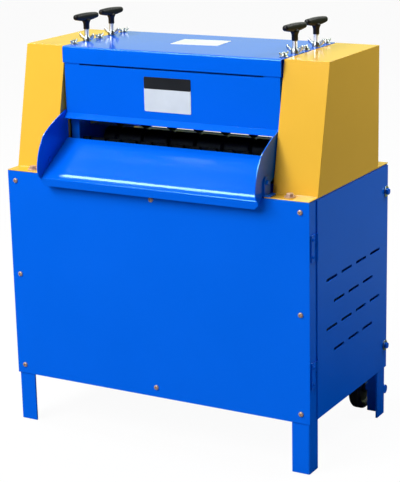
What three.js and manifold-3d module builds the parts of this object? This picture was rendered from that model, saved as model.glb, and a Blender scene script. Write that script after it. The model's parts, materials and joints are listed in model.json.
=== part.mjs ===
// Bench machine that strips the jacket from scrap wire between a grooved roller and a set of knife discs.
// Millimetres, +Z up, front towards -Y, right towards +X.
// The sizes below are measured from the middle of the front panel's outer face at the floor.
// The last lines move the whole machine so that its origin is the middle of its footprint.
import * as THREE from 'three';
import { mergeVertices } from 'three/addons/utils/BufferGeometryUtils.js';
import Module from 'manifold-3d';

const wasm = await Module();
wasm.setup();

// Cabinet
const cabinetWidth = 690;
const cabinetDepth = 375;
const panelBottom = 105;
const deckTop = 547;
const deckThickness = 4;
const sheet = 2;            // thickness of every panel, cover and guard
const seatGap = 0.3;        // clearance between pieces that rest on each other
const runGap = 0.6;         // radial clearance between pieces that turn or slide past each other
const overrun = 5;          // how far a cutting tool reaches past what it cuts
const halfWidth = cabinetWidth / 2;
const skinInner = halfWidth - sheet;

// Legs
const legFlange = 38;
const legThickness = 4;
const legBendRadius = 3;
const legTop = deckTop - deckThickness - seatGap;
const legOuter = skinInner - seatGap;
const legFront = sheet + seatGap;
const legBack = cabinetDepth - sheet - seatGap;

// Lower frame with the motor shelf
const railWidth = 20;
const railHeight = 25;
const railBottom = 110;
const shelfThickness = 5;
const shelfWidth = 218;
const shelfTop = railBottom + railHeight + shelfThickness;
const frameHalfWidth = legOuter - legThickness - seatGap;
const frameFront = legFront + legThickness + seatGap;
const frameBack = legBack - legThickness - seatGap;

// Deck
const deckLip = 40;
const deckLipEndGap = 2;

// Vent slots in the two side panels
const ventLength = 50;
const ventHeight = 6;
const ventPitch = 70;
const ventRowPitch = 50;
const ventLowRow = 225.5;
const ventFirst = 75;       // front end of the first slot in the long rows
const ventRows = 4;
const ventLongRow = 4;      // slots in the long rows
const ventStagger = 34;     // how far the short rows start behind the long ones

// Side door, its hinges and its screws
const hingeSetback = 31;    // hinge axis behind the front panel
const barrelRadius = 3;
const hingePinRadius = 1.5;
const hingeHeight = 54;
const hingeLowBottom = 173;
const hingeHighBottom = 428;
const leafWidth = 22;
const leafCornerRadius = 6;
const knuckleShare = 1 / 3; // of the hinge's height that the door's knuckle takes
const doorTopGap = 3;
const doorScrewSetback = 9; // behind this distance from the door's rear edge
const doorScrewHigh = 490;
const doorScrewLow = 155;
const doorScrewHeadRadius = 7;
const doorScrewHead = 7;
const doorScrewRadius = 3;
const doorScrewReach = 5;
const washerRadius = 11.5;
const washerThickness = 1.2;

// Rollers, shafts and gears
const shaftRadius = 12;
const lowerAxisAboveDeck = 40;
const gearModule = 3;
const pressureAngle = 20;   // degrees
const dedendumShare = 1.25; // of the module
const lowerTeeth = 18;
const upperTeeth = 30;
const gearWidth = 18;
const gearBacklash = 0.9;
const nipGap = 0.5;
const headMiddle = 205;     // both shafts lie this far behind the front panel
const gearSetOut = 14;      // inner face of the gears, past the covers' inner face
const lowerRadius = gearModule * lowerTeeth / 2;
const upperRadius = gearModule * upperTeeth / 2;
const lowerAxis = deckTop + lowerAxisAboveDeck;
const upperAxis = lowerAxis + lowerRadius + upperRadius;
const knifeRadius = upperRadius - nipGap;

// Side frames, crossheads and bearing blocks
const frameThickness = 20;
const frameDepth = 210;
const coverWidth = 95;
const coverInner = halfWidth - coverWidth;
const frameOuter = coverInner - seatGap;
const frameInner = frameOuter - frameThickness;
const frameStart = headMiddle - frameDepth / 2;
const frameEnd = headMiddle + frameDepth / 2;
const blockWidth = 124;
const blockHeight = 64;
const liftRange = 4;        // how far the press screws raise the knife shaft
const topPlay = 8;
const blockBottom = upperAxis - blockHeight / 2;
const blockTop = upperAxis + blockHeight / 2;
const frameTop = blockTop + liftRange + topPlay;

// Press screws, tee grips and wing nuts
const screwRadius = 5;
const screwPitch = 96;      // between the two press screws of one side
const screwInset = 10;      // inside the covers' inner face
const collarRadius = 8;
const collarHeight = 5;
const collarSink = 10;      // depth of the slot that traps the collar in the bearing block
const screwReach = 47;      // how far the press screws stand above the lid
const sleeveWall = 1;
const sleeveLength = 22;    // of the screw's top that the grip's sleeve covers
const gripHubRadius = 9;
const gripHubFlare = 7;     // height over which the sleeve widens to the bar
const gripLength = 68;
const gripRoof = 12;        // bar above the screw's top end
const gripThickness = 17;
const gripEndThickness = 12;
const gripWidth = 13;
const gripTurn = 11;        // degrees that the bars stand off the Y axis
const wingSpan = 36;
const wingHeight = 17;
const wingThickness = 3;
const wingHubRadius = 8.5;
const wingHubHeight = 7;

// Covers, lid, guards
const coverFront = 37;      // where the sloping front of a cover meets the deck
const coverTopFront = 91;
const coverBack = 325;
const coverTop = 798;
const lidTop = 799;
const screwTop = lidTop + screwReach;
const gripTop = screwTop + gripRoof;
const sleeveBottom = screwTop - sleeveLength;
const sleeveRadius = screwRadius + seatGap + sleeveWall;
const lidSkirt = 34;
const lidBackSkirt = 169;
const lidCorner = 4;
const lidGap = 0.8;
const guardSetOut = 19.7;   // guard in front of the side frames
const guardFront = frameStart - guardSetOut;
const lidFront = guardFront - seatGap - sheet;
const guardBottom = 662;
const guardSideGap = 4;
const guardReturn = 19;
const guardLipReach = 10;
const guardLipDrop = 10;
const guardTabWidth = 36;
const guardTabHeight = 14;
const guardTopGap = 3.5;

// Infeed tray
const trayFrameGap = 20;    // between the pan and the side frames
const trayBackY = frameStart - trayFrameGap;
const trayBackZ = 609;
const trayNoseY = -20;      // front of the folded edge
const trayNoseZ = 542.3;
const trayRollRadius = 4;
const trayBendRadius = 80;  // gentle bend above the fold
const traySlopeAngle = 32;  // degrees, pan
const trayBendAngle = 44;   // degrees, end of the gentle bend
const trayLipAngle = 97;    // degrees, lip below the fold
const trayLipDrop = 14;
const trayEndGap = 1.5;     // between the cheeks and the covers
const trayHalfWidth = coverInner - trayEndGap;
const cheekFrameGap = 16;   // between the cheeks and the side frames
const cheekTopY = frameStart - cheekFrameGap;
const cheekTopZ = 650;
const cheekBulge = 11.5;    // of the cheeks in front of the fold
const pivotY = 12;
const pivotZ = 575;
const pivotRadius = 3;
const pivotHeadRadius = 5;
const pivotHead = 1.6;
const bracketThickness = 3;
const bracketHalfWidth = 12;
const bracketFoot = 12;

// Guide comb in front of the roller
const combY = 112;
const combThickness = 8;
const combTop = 606;
const combFoot = 24;
const combFootThickness = 3;
const combNotches = 12;
const combNotchDepth = 16;

// Chute behind the rollers
const chuteStartY = 262;
const chuteStartZ = 606;
const chuteOverhang = 23;   // past the rear panel
const chuteEndY = cabinetDepth + chuteOverhang;
const chuteEndZ = 558;
const chuteSide = 30;
const chuteLip = 16;

// Drive in the cabinet
const chainSetOut = 38;     // inner face of the sprockets, past the covers' inner face
const chainX = coverInner + chainSetOut;
const chainWidth = 10;
const chainThickness = 7;
const chainPitch = 12.7;
const sprocketWidth = 7;
const driveTeeth = 14;
const drivenTeeth = 20;
const sprocketTooth = 3.6;
const rootShare = 0.6;      // of half a tooth's pitch that a sprocket tooth takes at its root and at its tip
const tipShare = 0.15;
const hubRadius = 20;
const hubLength = 10;
const gearboxSetIn = 56;    // from the sprockets to the middle of the gearbox
const gearboxX = chainX - gearboxSetIn;
const gearboxY = 118;
const gearboxWidth = 70;
const gearboxDepth = 104;
const gearboxHeight = 136;
const gearboxAxis = 205;
const gearboxShaftRadius = 11;
const gearboxFoot = 10;
const gearboxFootReach = 14;
const motorRadius = 58;
const motorBackGap = 28;    // free space between the motor and the rear panel
const motorAxis = 222;
const motorFlangeRadius = 66;
const motorFlange = 10;
const motorFinDepth = 5;
const motorFins = 16;
const motorFinShares = [[0, 0], [0.3, 0], [0.4, 1], [0.9, 1]]; // of a fin's pitch and of its depth
const terminalBox = 60;
const terminalBoxHeight = 30;

// Lower bearings
const bearingFlange = 66;
const bearingThickness = 7;
const bearingBossRadius = 24;
const bearingBoss = 4;

// Feed roller and knife discs
const rollerEndGap = 7.7;   // between the roller and each side frame
const rollerHalfLength = frameInner - rollerEndGap;
const rollerGrooves = 7;
const grooveDepth = 5;
const knifeHubRadius = 24;
const knifeThickness = 6;
const knifeBevel = 8;

// Switch box, buttons and cable gland
const switchY = 190;
const switchZ = 440;
const switchWidth = 72;
const switchHeight = 110;
const switchDepth = 42;
const buttonRadius = 13;
const buttonPitch = 44;
const buttonProud = 7;
const buttonTravel = 3;
const buttonGuide = 12;     // length of the button inside the box
const glandInset = 95;      // from the left panel
const glandX = glandInset - halfWidth;
const glandZ = 160;
const glandRadius = 9;
const glandBore = 4.5;
const glandProud = 16;
const glandNut = 13;
const glandNutThickness = 5;

// Wheels behind the rear legs
const wheelRadius = 49;
const wheelWidth = 24;
const wheelLegGap = 4.7;    // between a wheel and the inner edge of its leg
const wheelInner = legOuter - legFlange - wheelLegGap - wheelWidth;
const wheelClear = 2;       // the wheels stay off the floor until the machine is tipped back
const axleRadius = 6;
const axleEndRadius = 9.5;
const axleEndLength = 8;
const axleNut = 6;
const wheelHubRadius = 14;
const wheelDish = 5;
const axleY = legBack + axleRadius;
const axleZ = wheelRadius + wheelClear;

// How finely round shapes are divided
const roundest = 20;
const medium = 16;
const coarse = 12;
const hexagon = 6;
const rollSteps = 6;
const curveSteps = 4;
const bendSteps = 3;

const blue = 0x0a5be0;
const yellow = 0xf9c543;
const steel = 0xb9bcbe;
const zinc = 0xc9ccc4;
const black = 0x17181a;
const grey = 0x7c8388;
const green = 0x1f9c4c;
const red = 0xc8271f;

const machine = new THREE.Group();
const finishes = {
  paint: { roughness: 0.25, metalness: 0 },
  metal: { roughness: 0.35, metalness: 1 },
  plastic: { roughness: 0.5, metalness: 0 },
};

// Puts one named piece into a group, in a colour and a finish
function place(group, name, geometry, color, finish) {
  const piece = new THREE.Mesh(geometry, new THREE.MeshStandardMaterial({ color, ...finishes[finish] }));
  piece.name = name;
  group.add(piece);
  return piece;
}

// Turns a closed geometry into a solid that can be cut and joined
function solid(geometry) {
  const bare = geometry.clone();
  bare.deleteAttribute('normal');
  bare.deleteAttribute('uv');
  const merged = mergeVertices(bare, seatGap / 1000);
  const vertProperties = new Float32Array(merged.attributes.position.array);
  const triVerts = new Uint32Array(merged.index.array);
  return new wasm.Manifold(new wasm.Mesh({ numProp: 3, vertProperties, triVerts }));
}

function shell(body) {
  const mesh = body.getMesh();
  const geometry = new THREE.BufferGeometry();
  geometry.setAttribute('position', new THREE.BufferAttribute(new Float32Array(mesh.vertProperties), 3));
  geometry.setIndex(new THREE.BufferAttribute(new Uint32Array(mesh.triVerts), 1));
  geometry.computeVertexNormals();
  return geometry;
}

function join(geometries) {
  return shell(geometries.map(solid).reduce((sum, next) => sum.add(next)));
}

function cut(geometry, tools) {
  return shell(tools.map(solid).reduce((rest, tool) => rest.subtract(tool), solid(geometry)));
}

// A box from its lowest to its highest corner
function box(low, high) {
  const size = high.map((value, axis) => value - low[axis]);
  const middle = high.map((value, axis) => (value + low[axis]) / 2);
  return new THREE.BoxGeometry(...size).translate(...middle);
}

// A round bar along X, Y or Z between two stations, centred on the other two coordinates in their order
function bar(axis, radius, from, to, first, second, segments = medium) {
  const geometry = new THREE.CylinderGeometry(radius, radius, to - from, segments);
  const middle = (from + to) / 2;
  if (axis === 'x') {
    return geometry.rotateZ(-Math.PI / 2).translate(middle, first, second);
  }
  if (axis === 'y') {
    return geometry.translate(first, middle, second);
  }
  return geometry.rotateX(Math.PI / 2).translate(first, second, middle);
}

// A shape of revolution along X, from [radius, station] pairs
function turned(profile, y, z, segments = medium) {
  const points = profile.map(([radius, station]) => new THREE.Vector2(radius, station));
  return new THREE.LatheGeometry(points, segments).rotateZ(-Math.PI / 2).translate(0, y, z);
}

// A shape of revolution about an upright axis, from [radius, height] pairs
function spun(profile, x, y, segments = coarse) {
  const points = profile.map(([radius, height]) => new THREE.Vector2(radius, height));
  return new THREE.LatheGeometry(points, segments).rotateX(Math.PI / 2).translate(x, y, 0);
}

function outline(points) {
  return new THREE.Shape(points.map(([first, second]) => new THREE.Vector2(first, second)));
}

// Extrudes an outline drawn in Y and Z along X
function acrossX(shape, from, to, curveSegments = coarse) {
  const geometry = new THREE.ExtrudeGeometry(shape, { depth: to - from, bevelEnabled: false, curveSegments });
  const turn = new THREE.Matrix4().makeBasis(
    new THREE.Vector3(0, 1, 0), new THREE.Vector3(0, 0, 1), new THREE.Vector3(1, 0, 0));
  return geometry.applyMatrix4(turn).translate(from, 0, 0);
}

// Extrudes an outline drawn in X and Z along Y
function acrossY(shape, from, to, curveSegments = coarse) {
  const geometry = new THREE.ExtrudeGeometry(shape, { depth: to - from, bevelEnabled: false, curveSegments });
  const turn = new THREE.Matrix4().makeBasis(
    new THREE.Vector3(1, 0, 0), new THREE.Vector3(0, 0, 1), new THREE.Vector3(0, -1, 0));
  return geometry.applyMatrix4(turn).translate(0, to, 0);
}

// Extrudes an outline drawn in X and Y upwards
function upright(shape, from, to, curveSegments = coarse) {
  const geometry = new THREE.ExtrudeGeometry(shape, { depth: to - from, bevelEnabled: false, curveSegments });
  return geometry.translate(0, 0, from);
}

// Mirrors a piece of the right-hand side to the left-hand side, and keeps its faces pointing out
function mirrored(geometry) {
  const body = solid(geometry);
  return shell(body.mirror([1, 0, 0]));
}

// A bent strip of sheet: the points are its upper face, and the thickness lies to the right of their run
function strip(points, thickness) {
  const inner = points.map((point, index) => {
    const before = points[Math.max(index - 1, 0)];
    const after = points[Math.min(index + 1, points.length - 1)];
    const ahead = new THREE.Vector2(after[0] - before[0], after[1] - before[1]).normalize();
    return [point[0] + ahead.y * thickness, point[1] - ahead.x * thickness];
  });
  return outline([...points, ...inner.reverse()]);
}

// Angle legs: the corner faces out, and one flange lies behind each neighbouring panel
function legOutline(side, corner, inward) {
  const x = (reach) => side * (legOuter - reach);
  const y = (reach) => corner + inward * reach;
  const shape = new THREE.Shape();
  shape.moveTo(x(legBendRadius), y(0));
  shape.lineTo(x(legFlange), y(0));
  shape.lineTo(x(legFlange), y(legThickness));
  shape.lineTo(x(legThickness), y(legThickness));
  shape.lineTo(x(legThickness), y(legFlange));
  shape.lineTo(x(0), y(legFlange));
  shape.lineTo(x(0), y(legBendRadius));
  shape.quadraticCurveTo(x(0), y(0), x(legBendRadius), y(0));
  return shape;
}

function frontLeg(side) {
  return upright(legOutline(side, legFront, 1), 0, legTop, bendSteps);
}

// A rear leg carries a stub axle that is welded across its rear face
function rearLeg(side) {
  const post = upright(legOutline(side, legBack, -1), 0, legTop, bendSteps);
  const nutStart = wheelInner - seatGap - axleNut;
  const axle = bar('x', axleRadius, nutStart, legOuter, axleY, axleZ);
  const nut = bar('x', axleEndRadius, nutStart, nutStart + axleNut, axleY, axleZ, hexagon);
  const end = bar('x', axleEndRadius, legOuter - axleEndLength, legOuter, axleY, axleZ);
  const collar = bar(
    'x', axleEndRadius, wheelInner + wheelWidth + seatGap, legOuter - legFlange / 2, axleY, axleZ);
  const metal = join([axle, nut, end, collar]);
  const right = join([side > 0 ? post : mirrored(post), metal]);
  const holes = [doorScrewHigh, doorScrewLow].map((height) => bar(
    'x', doorScrewRadius + runGap, legOuter - legThickness - overrun, legOuter + overrun,
    cabinetDepth - doorScrewSetback, height, coarse));
  return side > 0 ? cut(right, holes) : mirrored(right);
}

// Rails between the legs, with the motor shelf over the right-hand end
function lowerFrame() {
  const outer = box(
    [-frameHalfWidth, frameFront, railBottom], [frameHalfWidth, frameBack, railBottom + railHeight]);
  const inner = box(
    [railWidth - frameHalfWidth, frameFront + railWidth, railBottom - overrun],
    [frameHalfWidth - railWidth, frameBack - railWidth, shelfTop + overrun]);
  const ring = cut(outer, [inner]);
  const shelf = box(
    [frameHalfWidth - shelfWidth, frameFront, shelfTop - shelfThickness - seatGap],
    [frameHalfWidth, frameBack, shelfTop]);
  return join([ring, shelf]);
}

function topPlate() {
  const plate = box([-legOuter, legFront, deckTop - deckThickness], [legOuter, legBack, deckTop]);
  const lipHalf = legOuter - legFlange - deckLipEndGap;
  const lips = [legFront, legBack - legThickness].map((y) => box(
    [-lipHalf, y, deckTop - deckLip], [lipHalf, y + legThickness, deckTop - deckThickness / 2]));
  const slot = box(
    [chainX - chainWidth / 2, headMiddle - frameDepth / 3, deckTop - deckLip],
    [chainX + chainWidth * 3 / 2, headMiddle + frameDepth / 4, deckTop + overrun]);
  return cut(join([plate, ...lips]), [slot]);
}

function frontPanel() {
  return box([-halfWidth, 0, panelBottom], [halfWidth, sheet, deckTop]);
}

// A slot with round ends in a side panel, from its front end
function ventSlot(start, height) {
  const radius = ventHeight / 2;
  const shape = new THREE.Shape();
  shape.absarc(start + ventLength - radius, height, radius, -Math.PI / 2, Math.PI / 2, false);
  shape.absarc(start + radius, height, radius, Math.PI / 2, Math.PI * 3 / 2, false);
  return acrossX(shape, skinInner - overrun, halfWidth + overrun, curveSteps);
}

function ventSlots() {
  const slots = [];
  for (let row = 0; row < ventRows; row += 1) {
    const short = row % 2 === 0;
    const count = short ? ventLongRow - 1 : ventLongRow;
    for (let slot = 0; slot < count; slot += 1) {
      const start = ventFirst + (short ? ventStagger : 0) + slot * ventPitch;
      slots.push(ventSlot(start, ventLowRow + row * ventRowPitch));
    }
  }
  return slots;
}

function leftPanel() {
  const panel = box([skinInner, legFront, panelBottom], [halfWidth, cabinetDepth, deckTop]);
  return mirrored(cut(panel, ventSlots()));
}

function rearPanel() {
  const panel = box([-legOuter, legBack + seatGap, panelBottom], [legOuter, cabinetDepth, deckTop]);
  const hole = bar('y', glandRadius + seatGap, legBack - overrun, cabinetDepth + overrun, glandX, glandZ);
  return cut(panel, [hole]);
}

// The hinges stand on the front leg's side flange, with their barrels just proud of the door
const hingeX = legOuter + seatGap + barrelRadius;
const hingeY = hingeSetback;
const doorFront = hingeY + barrelRadius + runGap;
const knuckleLength = hingeHeight * knuckleShare;
const hingeBottoms = [hingeLowBottom, hingeHighBottom];

function doorKnuckle(bottom) {
  const low = bottom + knuckleLength + seatGap;
  const high = bottom + hingeHeight - knuckleLength - seatGap;
  const barrel = bar('z', barrelRadius, low, high, hingeX, hingeY, coarse);
  const tab = box([skinInner, hingeY, low], [halfWidth, doorFront + seatGap, high]);
  const bore = bar('z', hingePinRadius + seatGap, low - overrun, high + overrun, hingeX, hingeY, coarse);
  return cut(join([barrel, tab]), [bore]);
}

function sideDoor() {
  const plate = box([skinInner, doorFront, panelBottom], [halfWidth, cabinetDepth, deckTop - doorTopGap]);
  const screwHoles = [doorScrewHigh, doorScrewLow].map((height) => bar(
    'x', doorScrewRadius + seatGap, skinInner - overrun, halfWidth + overrun,
    cabinetDepth - doorScrewSetback, height, coarse));
  const vented = cut(plate, [...ventSlots(), ...screwHoles]);
  return join([vented, ...hingeBottoms.map(doorKnuckle)]);
}

function doorHinge(bottom) {
  const top = bottom + hingeHeight;
  const front = hingeY - leafWidth;
  const leaf = new THREE.Shape();
  leaf.moveTo(hingeY, bottom);
  leaf.lineTo(front, bottom);
  leaf.lineTo(front, top - leafCornerRadius);
  leaf.quadraticCurveTo(front, top, front + leafCornerRadius, top);
  leaf.lineTo(hingeY, top);
  const plate = acrossX(leaf, skinInner, halfWidth, curveSteps);
  const low = bottom + knuckleLength;
  const high = top - knuckleLength;
  const notch = box(
    [skinInner - overrun, hingeY - barrelRadius - runGap, low], [hingeX + overrun, hingeY + overrun, high]);
  const knuckles = [[bottom, low], [high, top]].map(([from, to]) => bar(
    'z', barrelRadius, from, to, hingeX, hingeY, coarse));
  const pin = bar('z', hingePinRadius, bottom, top, hingeX, hingeY, coarse);
  return join([cut(plate, [notch]), ...knuckles, pin]);
}

// Captive screw with its washer, through the door into a clearance hole in the rear leg
function doorScrew(height) {
  const y = cabinetDepth - doorScrewSetback;
  const faceX = halfWidth + seatGap;
  const washer = bar('x', washerRadius, faceX, faceX + washerThickness, y, height);
  const head = bar('x', doorScrewHeadRadius, faceX, faceX + doorScrewHead, y, height, hexagon);
  const shankStart = skinInner - doorScrewReach;
  const shank = bar('x', doorScrewRadius, shankStart, faceX + doorScrewHead / 2, y, height, coarse);
  return join([washer, head, shank]);
}

// Side frames: thick plates with an open-topped window for the bearing block
function sideFrame() {
  const plate = box([frameInner, frameStart, deckTop + seatGap], [frameOuter, frameEnd, frameTop]);
  const window = box(
    [frameInner - overrun, headMiddle - blockWidth / 2 - seatGap, blockBottom - seatGap],
    [frameOuter + overrun, headMiddle + blockWidth / 2 + seatGap, frameTop + overrun]);
  const shaftHole = bar(
    'x', shaftRadius + runGap, frameInner - overrun, frameOuter + overrun, headMiddle, lowerAxis);
  return cut(plate, [window, shaftHole]);
}

const screwX = coverInner - screwInset;
const screwYs = [headMiddle - screwPitch / 2, headMiddle + screwPitch / 2];

function crosshead() {
  const beam = box(
    [frameInner, frameStart, frameTop + seatGap], [frameOuter, frameEnd, lidTop - sheet - seatGap]);
  const holes = screwYs.map((y) => bar(
    'z', screwRadius + seatGap, frameTop - overrun, lidTop + overrun, screwX, y, coarse));
  return cut(beam, holes);
}

// The block's top has two slots that trap the collars of the press screws
function bearingBlock() {
  const body = box(
    [frameInner, headMiddle - blockWidth / 2, blockBottom],
    [frameOuter, headMiddle + blockWidth / 2, blockTop]);
  const bore = bar(
    'x', shaftRadius + runGap, frameInner - overrun, frameOuter + overrun, headMiddle, upperAxis);
  const slotFloor = blockTop - collarSink;
  const slots = screwYs.flatMap((y) => [
    box(
      [frameInner - overrun, y - screwRadius - runGap, slotFloor + collarHeight],
      [screwX + screwRadius + runGap, y + screwRadius + runGap, blockTop + overrun]),
    box(
      [frameInner - overrun, y - collarRadius - runGap, slotFloor],
      [screwX + collarRadius + runGap, y + collarRadius + runGap, slotFloor + collarHeight + runGap]),
  ]);
  return cut(body, [bore, ...slots]);
}

function pressScrew() {
  const foot = blockTop - collarSink + seatGap;
  const profile = [
    [0, foot], [collarRadius, foot], [collarRadius, foot + collarHeight],
    [screwRadius, foot + collarHeight], [screwRadius, screwTop], [0, screwTop],
  ];
  return spun(profile, 0, 0);
}

// Tee grip: a bar with round ends and an arched top, on a sleeve that is closed over the screw's end
function teeGrip() {
  const half = gripLength / 2;
  const under = gripTop - gripThickness;
  const corner = gripEndThickness / 2;
  const endTop = under + gripEndThickness;
  const side = new THREE.Shape();
  side.moveTo(corner - half, under);
  side.lineTo(half - corner, under);
  side.absarc(half - corner, under + corner, corner, -Math.PI / 2, Math.PI / 2);
  side.quadraticCurveTo(0, gripTop * 2 - endTop, corner - half, endTop);
  side.absarc(corner - half, under + corner, corner, Math.PI / 2, Math.PI * 3 / 2);
  const grip = acrossX(side, -gripWidth / 2, gripWidth / 2, curveSteps);
  const neck = spun([
    [0, sleeveBottom], [sleeveRadius, sleeveBottom], [sleeveRadius, under - gripHubFlare],
    [gripHubRadius, under], [gripHubRadius, under + gripEndThickness / 2], [0, under + gripEndThickness / 2],
  ], 0, 0);
  const bore = bar('z', screwRadius + seatGap, sleeveBottom - overrun, screwTop + seatGap, 0, 0, coarse);
  return cut(join([grip, neck]), [bore]);
}

function wingNut() {
  const foot = lidTop + seatGap;
  const half = wingSpan / 2;
  const wings = new THREE.Shape();
  wings.moveTo(-wingHubRadius / 2, foot + wingHubHeight / 4);
  wings.lineTo(-half, foot + wingHeight / 2);
  wings.quadraticCurveTo(
    -half - wingThickness / 2, foot + wingHeight, -half + wingThickness, foot + wingHeight);
  wings.lineTo(-wingHubRadius / 2, foot + wingHubHeight);
  wings.lineTo(wingHubRadius / 2, foot + wingHubHeight);
  wings.lineTo(half - wingThickness, foot + wingHeight);
  wings.quadraticCurveTo(half + wingThickness / 2, foot + wingHeight, half, foot + wingHeight / 2);
  wings.lineTo(wingHubRadius / 2, foot + wingHubHeight / 4);
  const blades = acrossY(wings, -wingThickness / 2, wingThickness / 2, bendSteps);
  const hub = bar('z', wingHubRadius, foot, foot + wingHubHeight, 0, 0, coarse);
  const bore = bar('z', screwRadius + seatGap, foot - overrun, foot + wingHeight + overrun, 0, 0, coarse);
  return cut(join([blades, hub]), [bore]);
}

// Covers: a box of sheet with a sloping front, open below and open towards the side frame
function cover() {
  const foot = deckTop + seatGap;
  const wall = (inset) => outline([
    [coverFront + inset, foot - (inset > 0 ? overrun : 0)],
    [coverFront + inset, foot + sheet],
    [coverTopFront + inset, coverTop - inset],
    [coverBack - inset, coverTop - inset],
    [coverBack - inset, foot - (inset > 0 ? overrun : 0)],
  ]);
  const outer = acrossX(wall(0), coverInner, halfWidth);
  const inner = acrossX(wall(sheet), coverInner + sheet, skinInner);
  const doorway = box(
    [coverInner - overrun, frameStart - sheet, foot - overrun],
    [coverInner + sheet + overrun, frameEnd + sheet, lidTop - sheet * 4]);
  const flanges = [[0, coverFront + sheet], [coverBack - sheet, cabinetDepth]].map(([from, to]) => box(
    [coverInner, from, foot], [halfWidth, to, foot + sheet]));
  return join([cut(outer, [inner, doorway]), ...flanges]);
}

// Lid: a folded sheet with a short front skirt and a long rear skirt
function lid() {
  const half = coverInner - lidGap;
  const skirtBottom = lidTop - lidSkirt;
  const backBottom = lidTop - lidBackSkirt;
  const profile = strip([
    [lidFront, skirtBottom], [lidFront, lidTop - lidCorner],
    [lidFront + lidCorner / 3, lidTop - lidCorner / 3], [lidFront + lidCorner, lidTop],
    [coverBack - lidCorner, lidTop], [coverBack - lidCorner / 3, lidTop - lidCorner / 3],
    [coverBack, lidTop - lidCorner], [coverBack, backBottom],
  ], sheet);
  const holes = [-screwX, screwX].flatMap((x) => screwYs.map((y) => bar(
    'z', screwRadius + runGap, lidTop - sheet - overrun, lidTop + overrun, x, y, coarse)));
  return cut(acrossX(profile, -half, half), holes);
}

function frontGuard() {
  const half = coverInner - guardSideGap;
  const top = lidTop - lidSkirt - guardTopGap;
  const profile = strip([
    [guardFront - guardLipReach, guardBottom - guardLipDrop], [guardFront, guardBottom], [guardFront, top],
  ], sheet);
  const plate = acrossX(profile, -half, half);
  const tabs = [-half, half - guardTabWidth].map((x) => box(
    [x, guardFront, top - overrun], [x + guardTabWidth, guardFront + sheet, top + guardTabHeight]));
  const returns = [-half, half - sheet].map((x) => box(
    [x, guardFront, guardBottom], [x + sheet, guardFront + guardReturn, top]));
  return join([plate, ...tabs, ...returns]);
}

// Infeed tray: a sloping pan with a rolled front edge between two cheeks
const cheekInner = trayHalfWidth - sheet;
const cheekNose = trayNoseY - cheekBulge;
const cheekLength = cheekTopY - cheekNose;
const cheekRise = cheekTopZ - trayNoseZ;
const cheekFrontShares = [
  [0.93, 1.16], [0.66, 1.05], [0.46, 0.95], [0.24, 0.81], [0.17, 0.71], [0.09, 0.57],
  [0.04, 0.43], [0.01, 0.3], [0, 0.19], [0.025, 0.07], [0.075, 0.02],
];

// Points of an arc in the pan's section, from one slope of its tangent to another
function slopeArc(centreY, centreZ, radius, fromSlope, toSlope) {
  const points = [];
  for (let step = 0; step <= rollSteps; step += 1) {
    const slope = THREE.MathUtils.lerp(fromSlope, toSlope, step / rollSteps);
    const normal = Math.PI / 2 + THREE.MathUtils.degToRad(slope);
    points.push([centreY + radius * Math.cos(normal), centreZ + radius * Math.sin(normal)]);
  }
  return points;
}

function panOutline() {
  const fold = slopeArc(
    trayNoseY + trayRollRadius, trayNoseZ, trayRollRadius, trayBendAngle, trayLipAngle);
  const normal = Math.PI / 2 + THREE.MathUtils.degToRad(trayBendAngle);
  const bend = slopeArc(
    fold[0][0] - trayBendRadius * Math.cos(normal), fold[0][1] - trayBendRadius * Math.sin(normal),
    trayBendRadius, traySlopeAngle, trayBendAngle);
  const [foldEndY, foldEndZ] = fold[fold.length - 1];
  const lip = THREE.MathUtils.degToRad(trayLipAngle);
  const lipEnd = [foldEndY - trayLipDrop * Math.cos(lip), foldEndZ - trayLipDrop * Math.sin(lip)];
  return strip([[trayBackY, trayBackZ], ...bend, ...fold.slice(1), lipEnd], -sheet);
}

function cheekOutline() {
  const front = cheekFrontShares.map(([along, up]) => new THREE.Vector2(
    cheekNose + cheekLength * along, trayNoseZ + cheekRise * up));
  const shape = new THREE.Shape();
  shape.moveTo(cheekTopY, trayBackZ - trayRollRadius * 2);
  shape.lineTo(cheekTopY, trayNoseZ + cheekRise * cheekFrontShares[0][1]);
  shape.lineTo(front[0].x, front[0].y);
  shape.splineThru(front.slice(1));
  shape.lineTo(trayNoseY, trayNoseZ - trayRollRadius / 2);
  return shape;
}

function infeedTray() {
  const pan = acrossX(panOutline(), -cheekInner - sheet / 2, cheekInner + sheet / 2);
  const cheek = acrossX(cheekOutline(), cheekInner, trayHalfWidth, 2);
  const hole = (x) => bar(
    'x', pivotRadius + seatGap, x - overrun, x + overrun, pivotY, pivotZ, coarse);
  const lipEdge = trayNoseZ - trayLipDrop - overrun;
  const corner = acrossY(outline([
    [trayHalfWidth + overrun, trayNoseZ],
    [trayHalfWidth - trayLipDrop, lipEdge],
    [trayHalfWidth + overrun, lipEdge],
  ]), trayNoseY - overrun, trayNoseY + trayRollRadius);
  return cut(join([pan, cheek, mirrored(cheek)]),
    [hole(cheekInner), hole(-cheekInner), corner, mirrored(corner)]);
}

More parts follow.
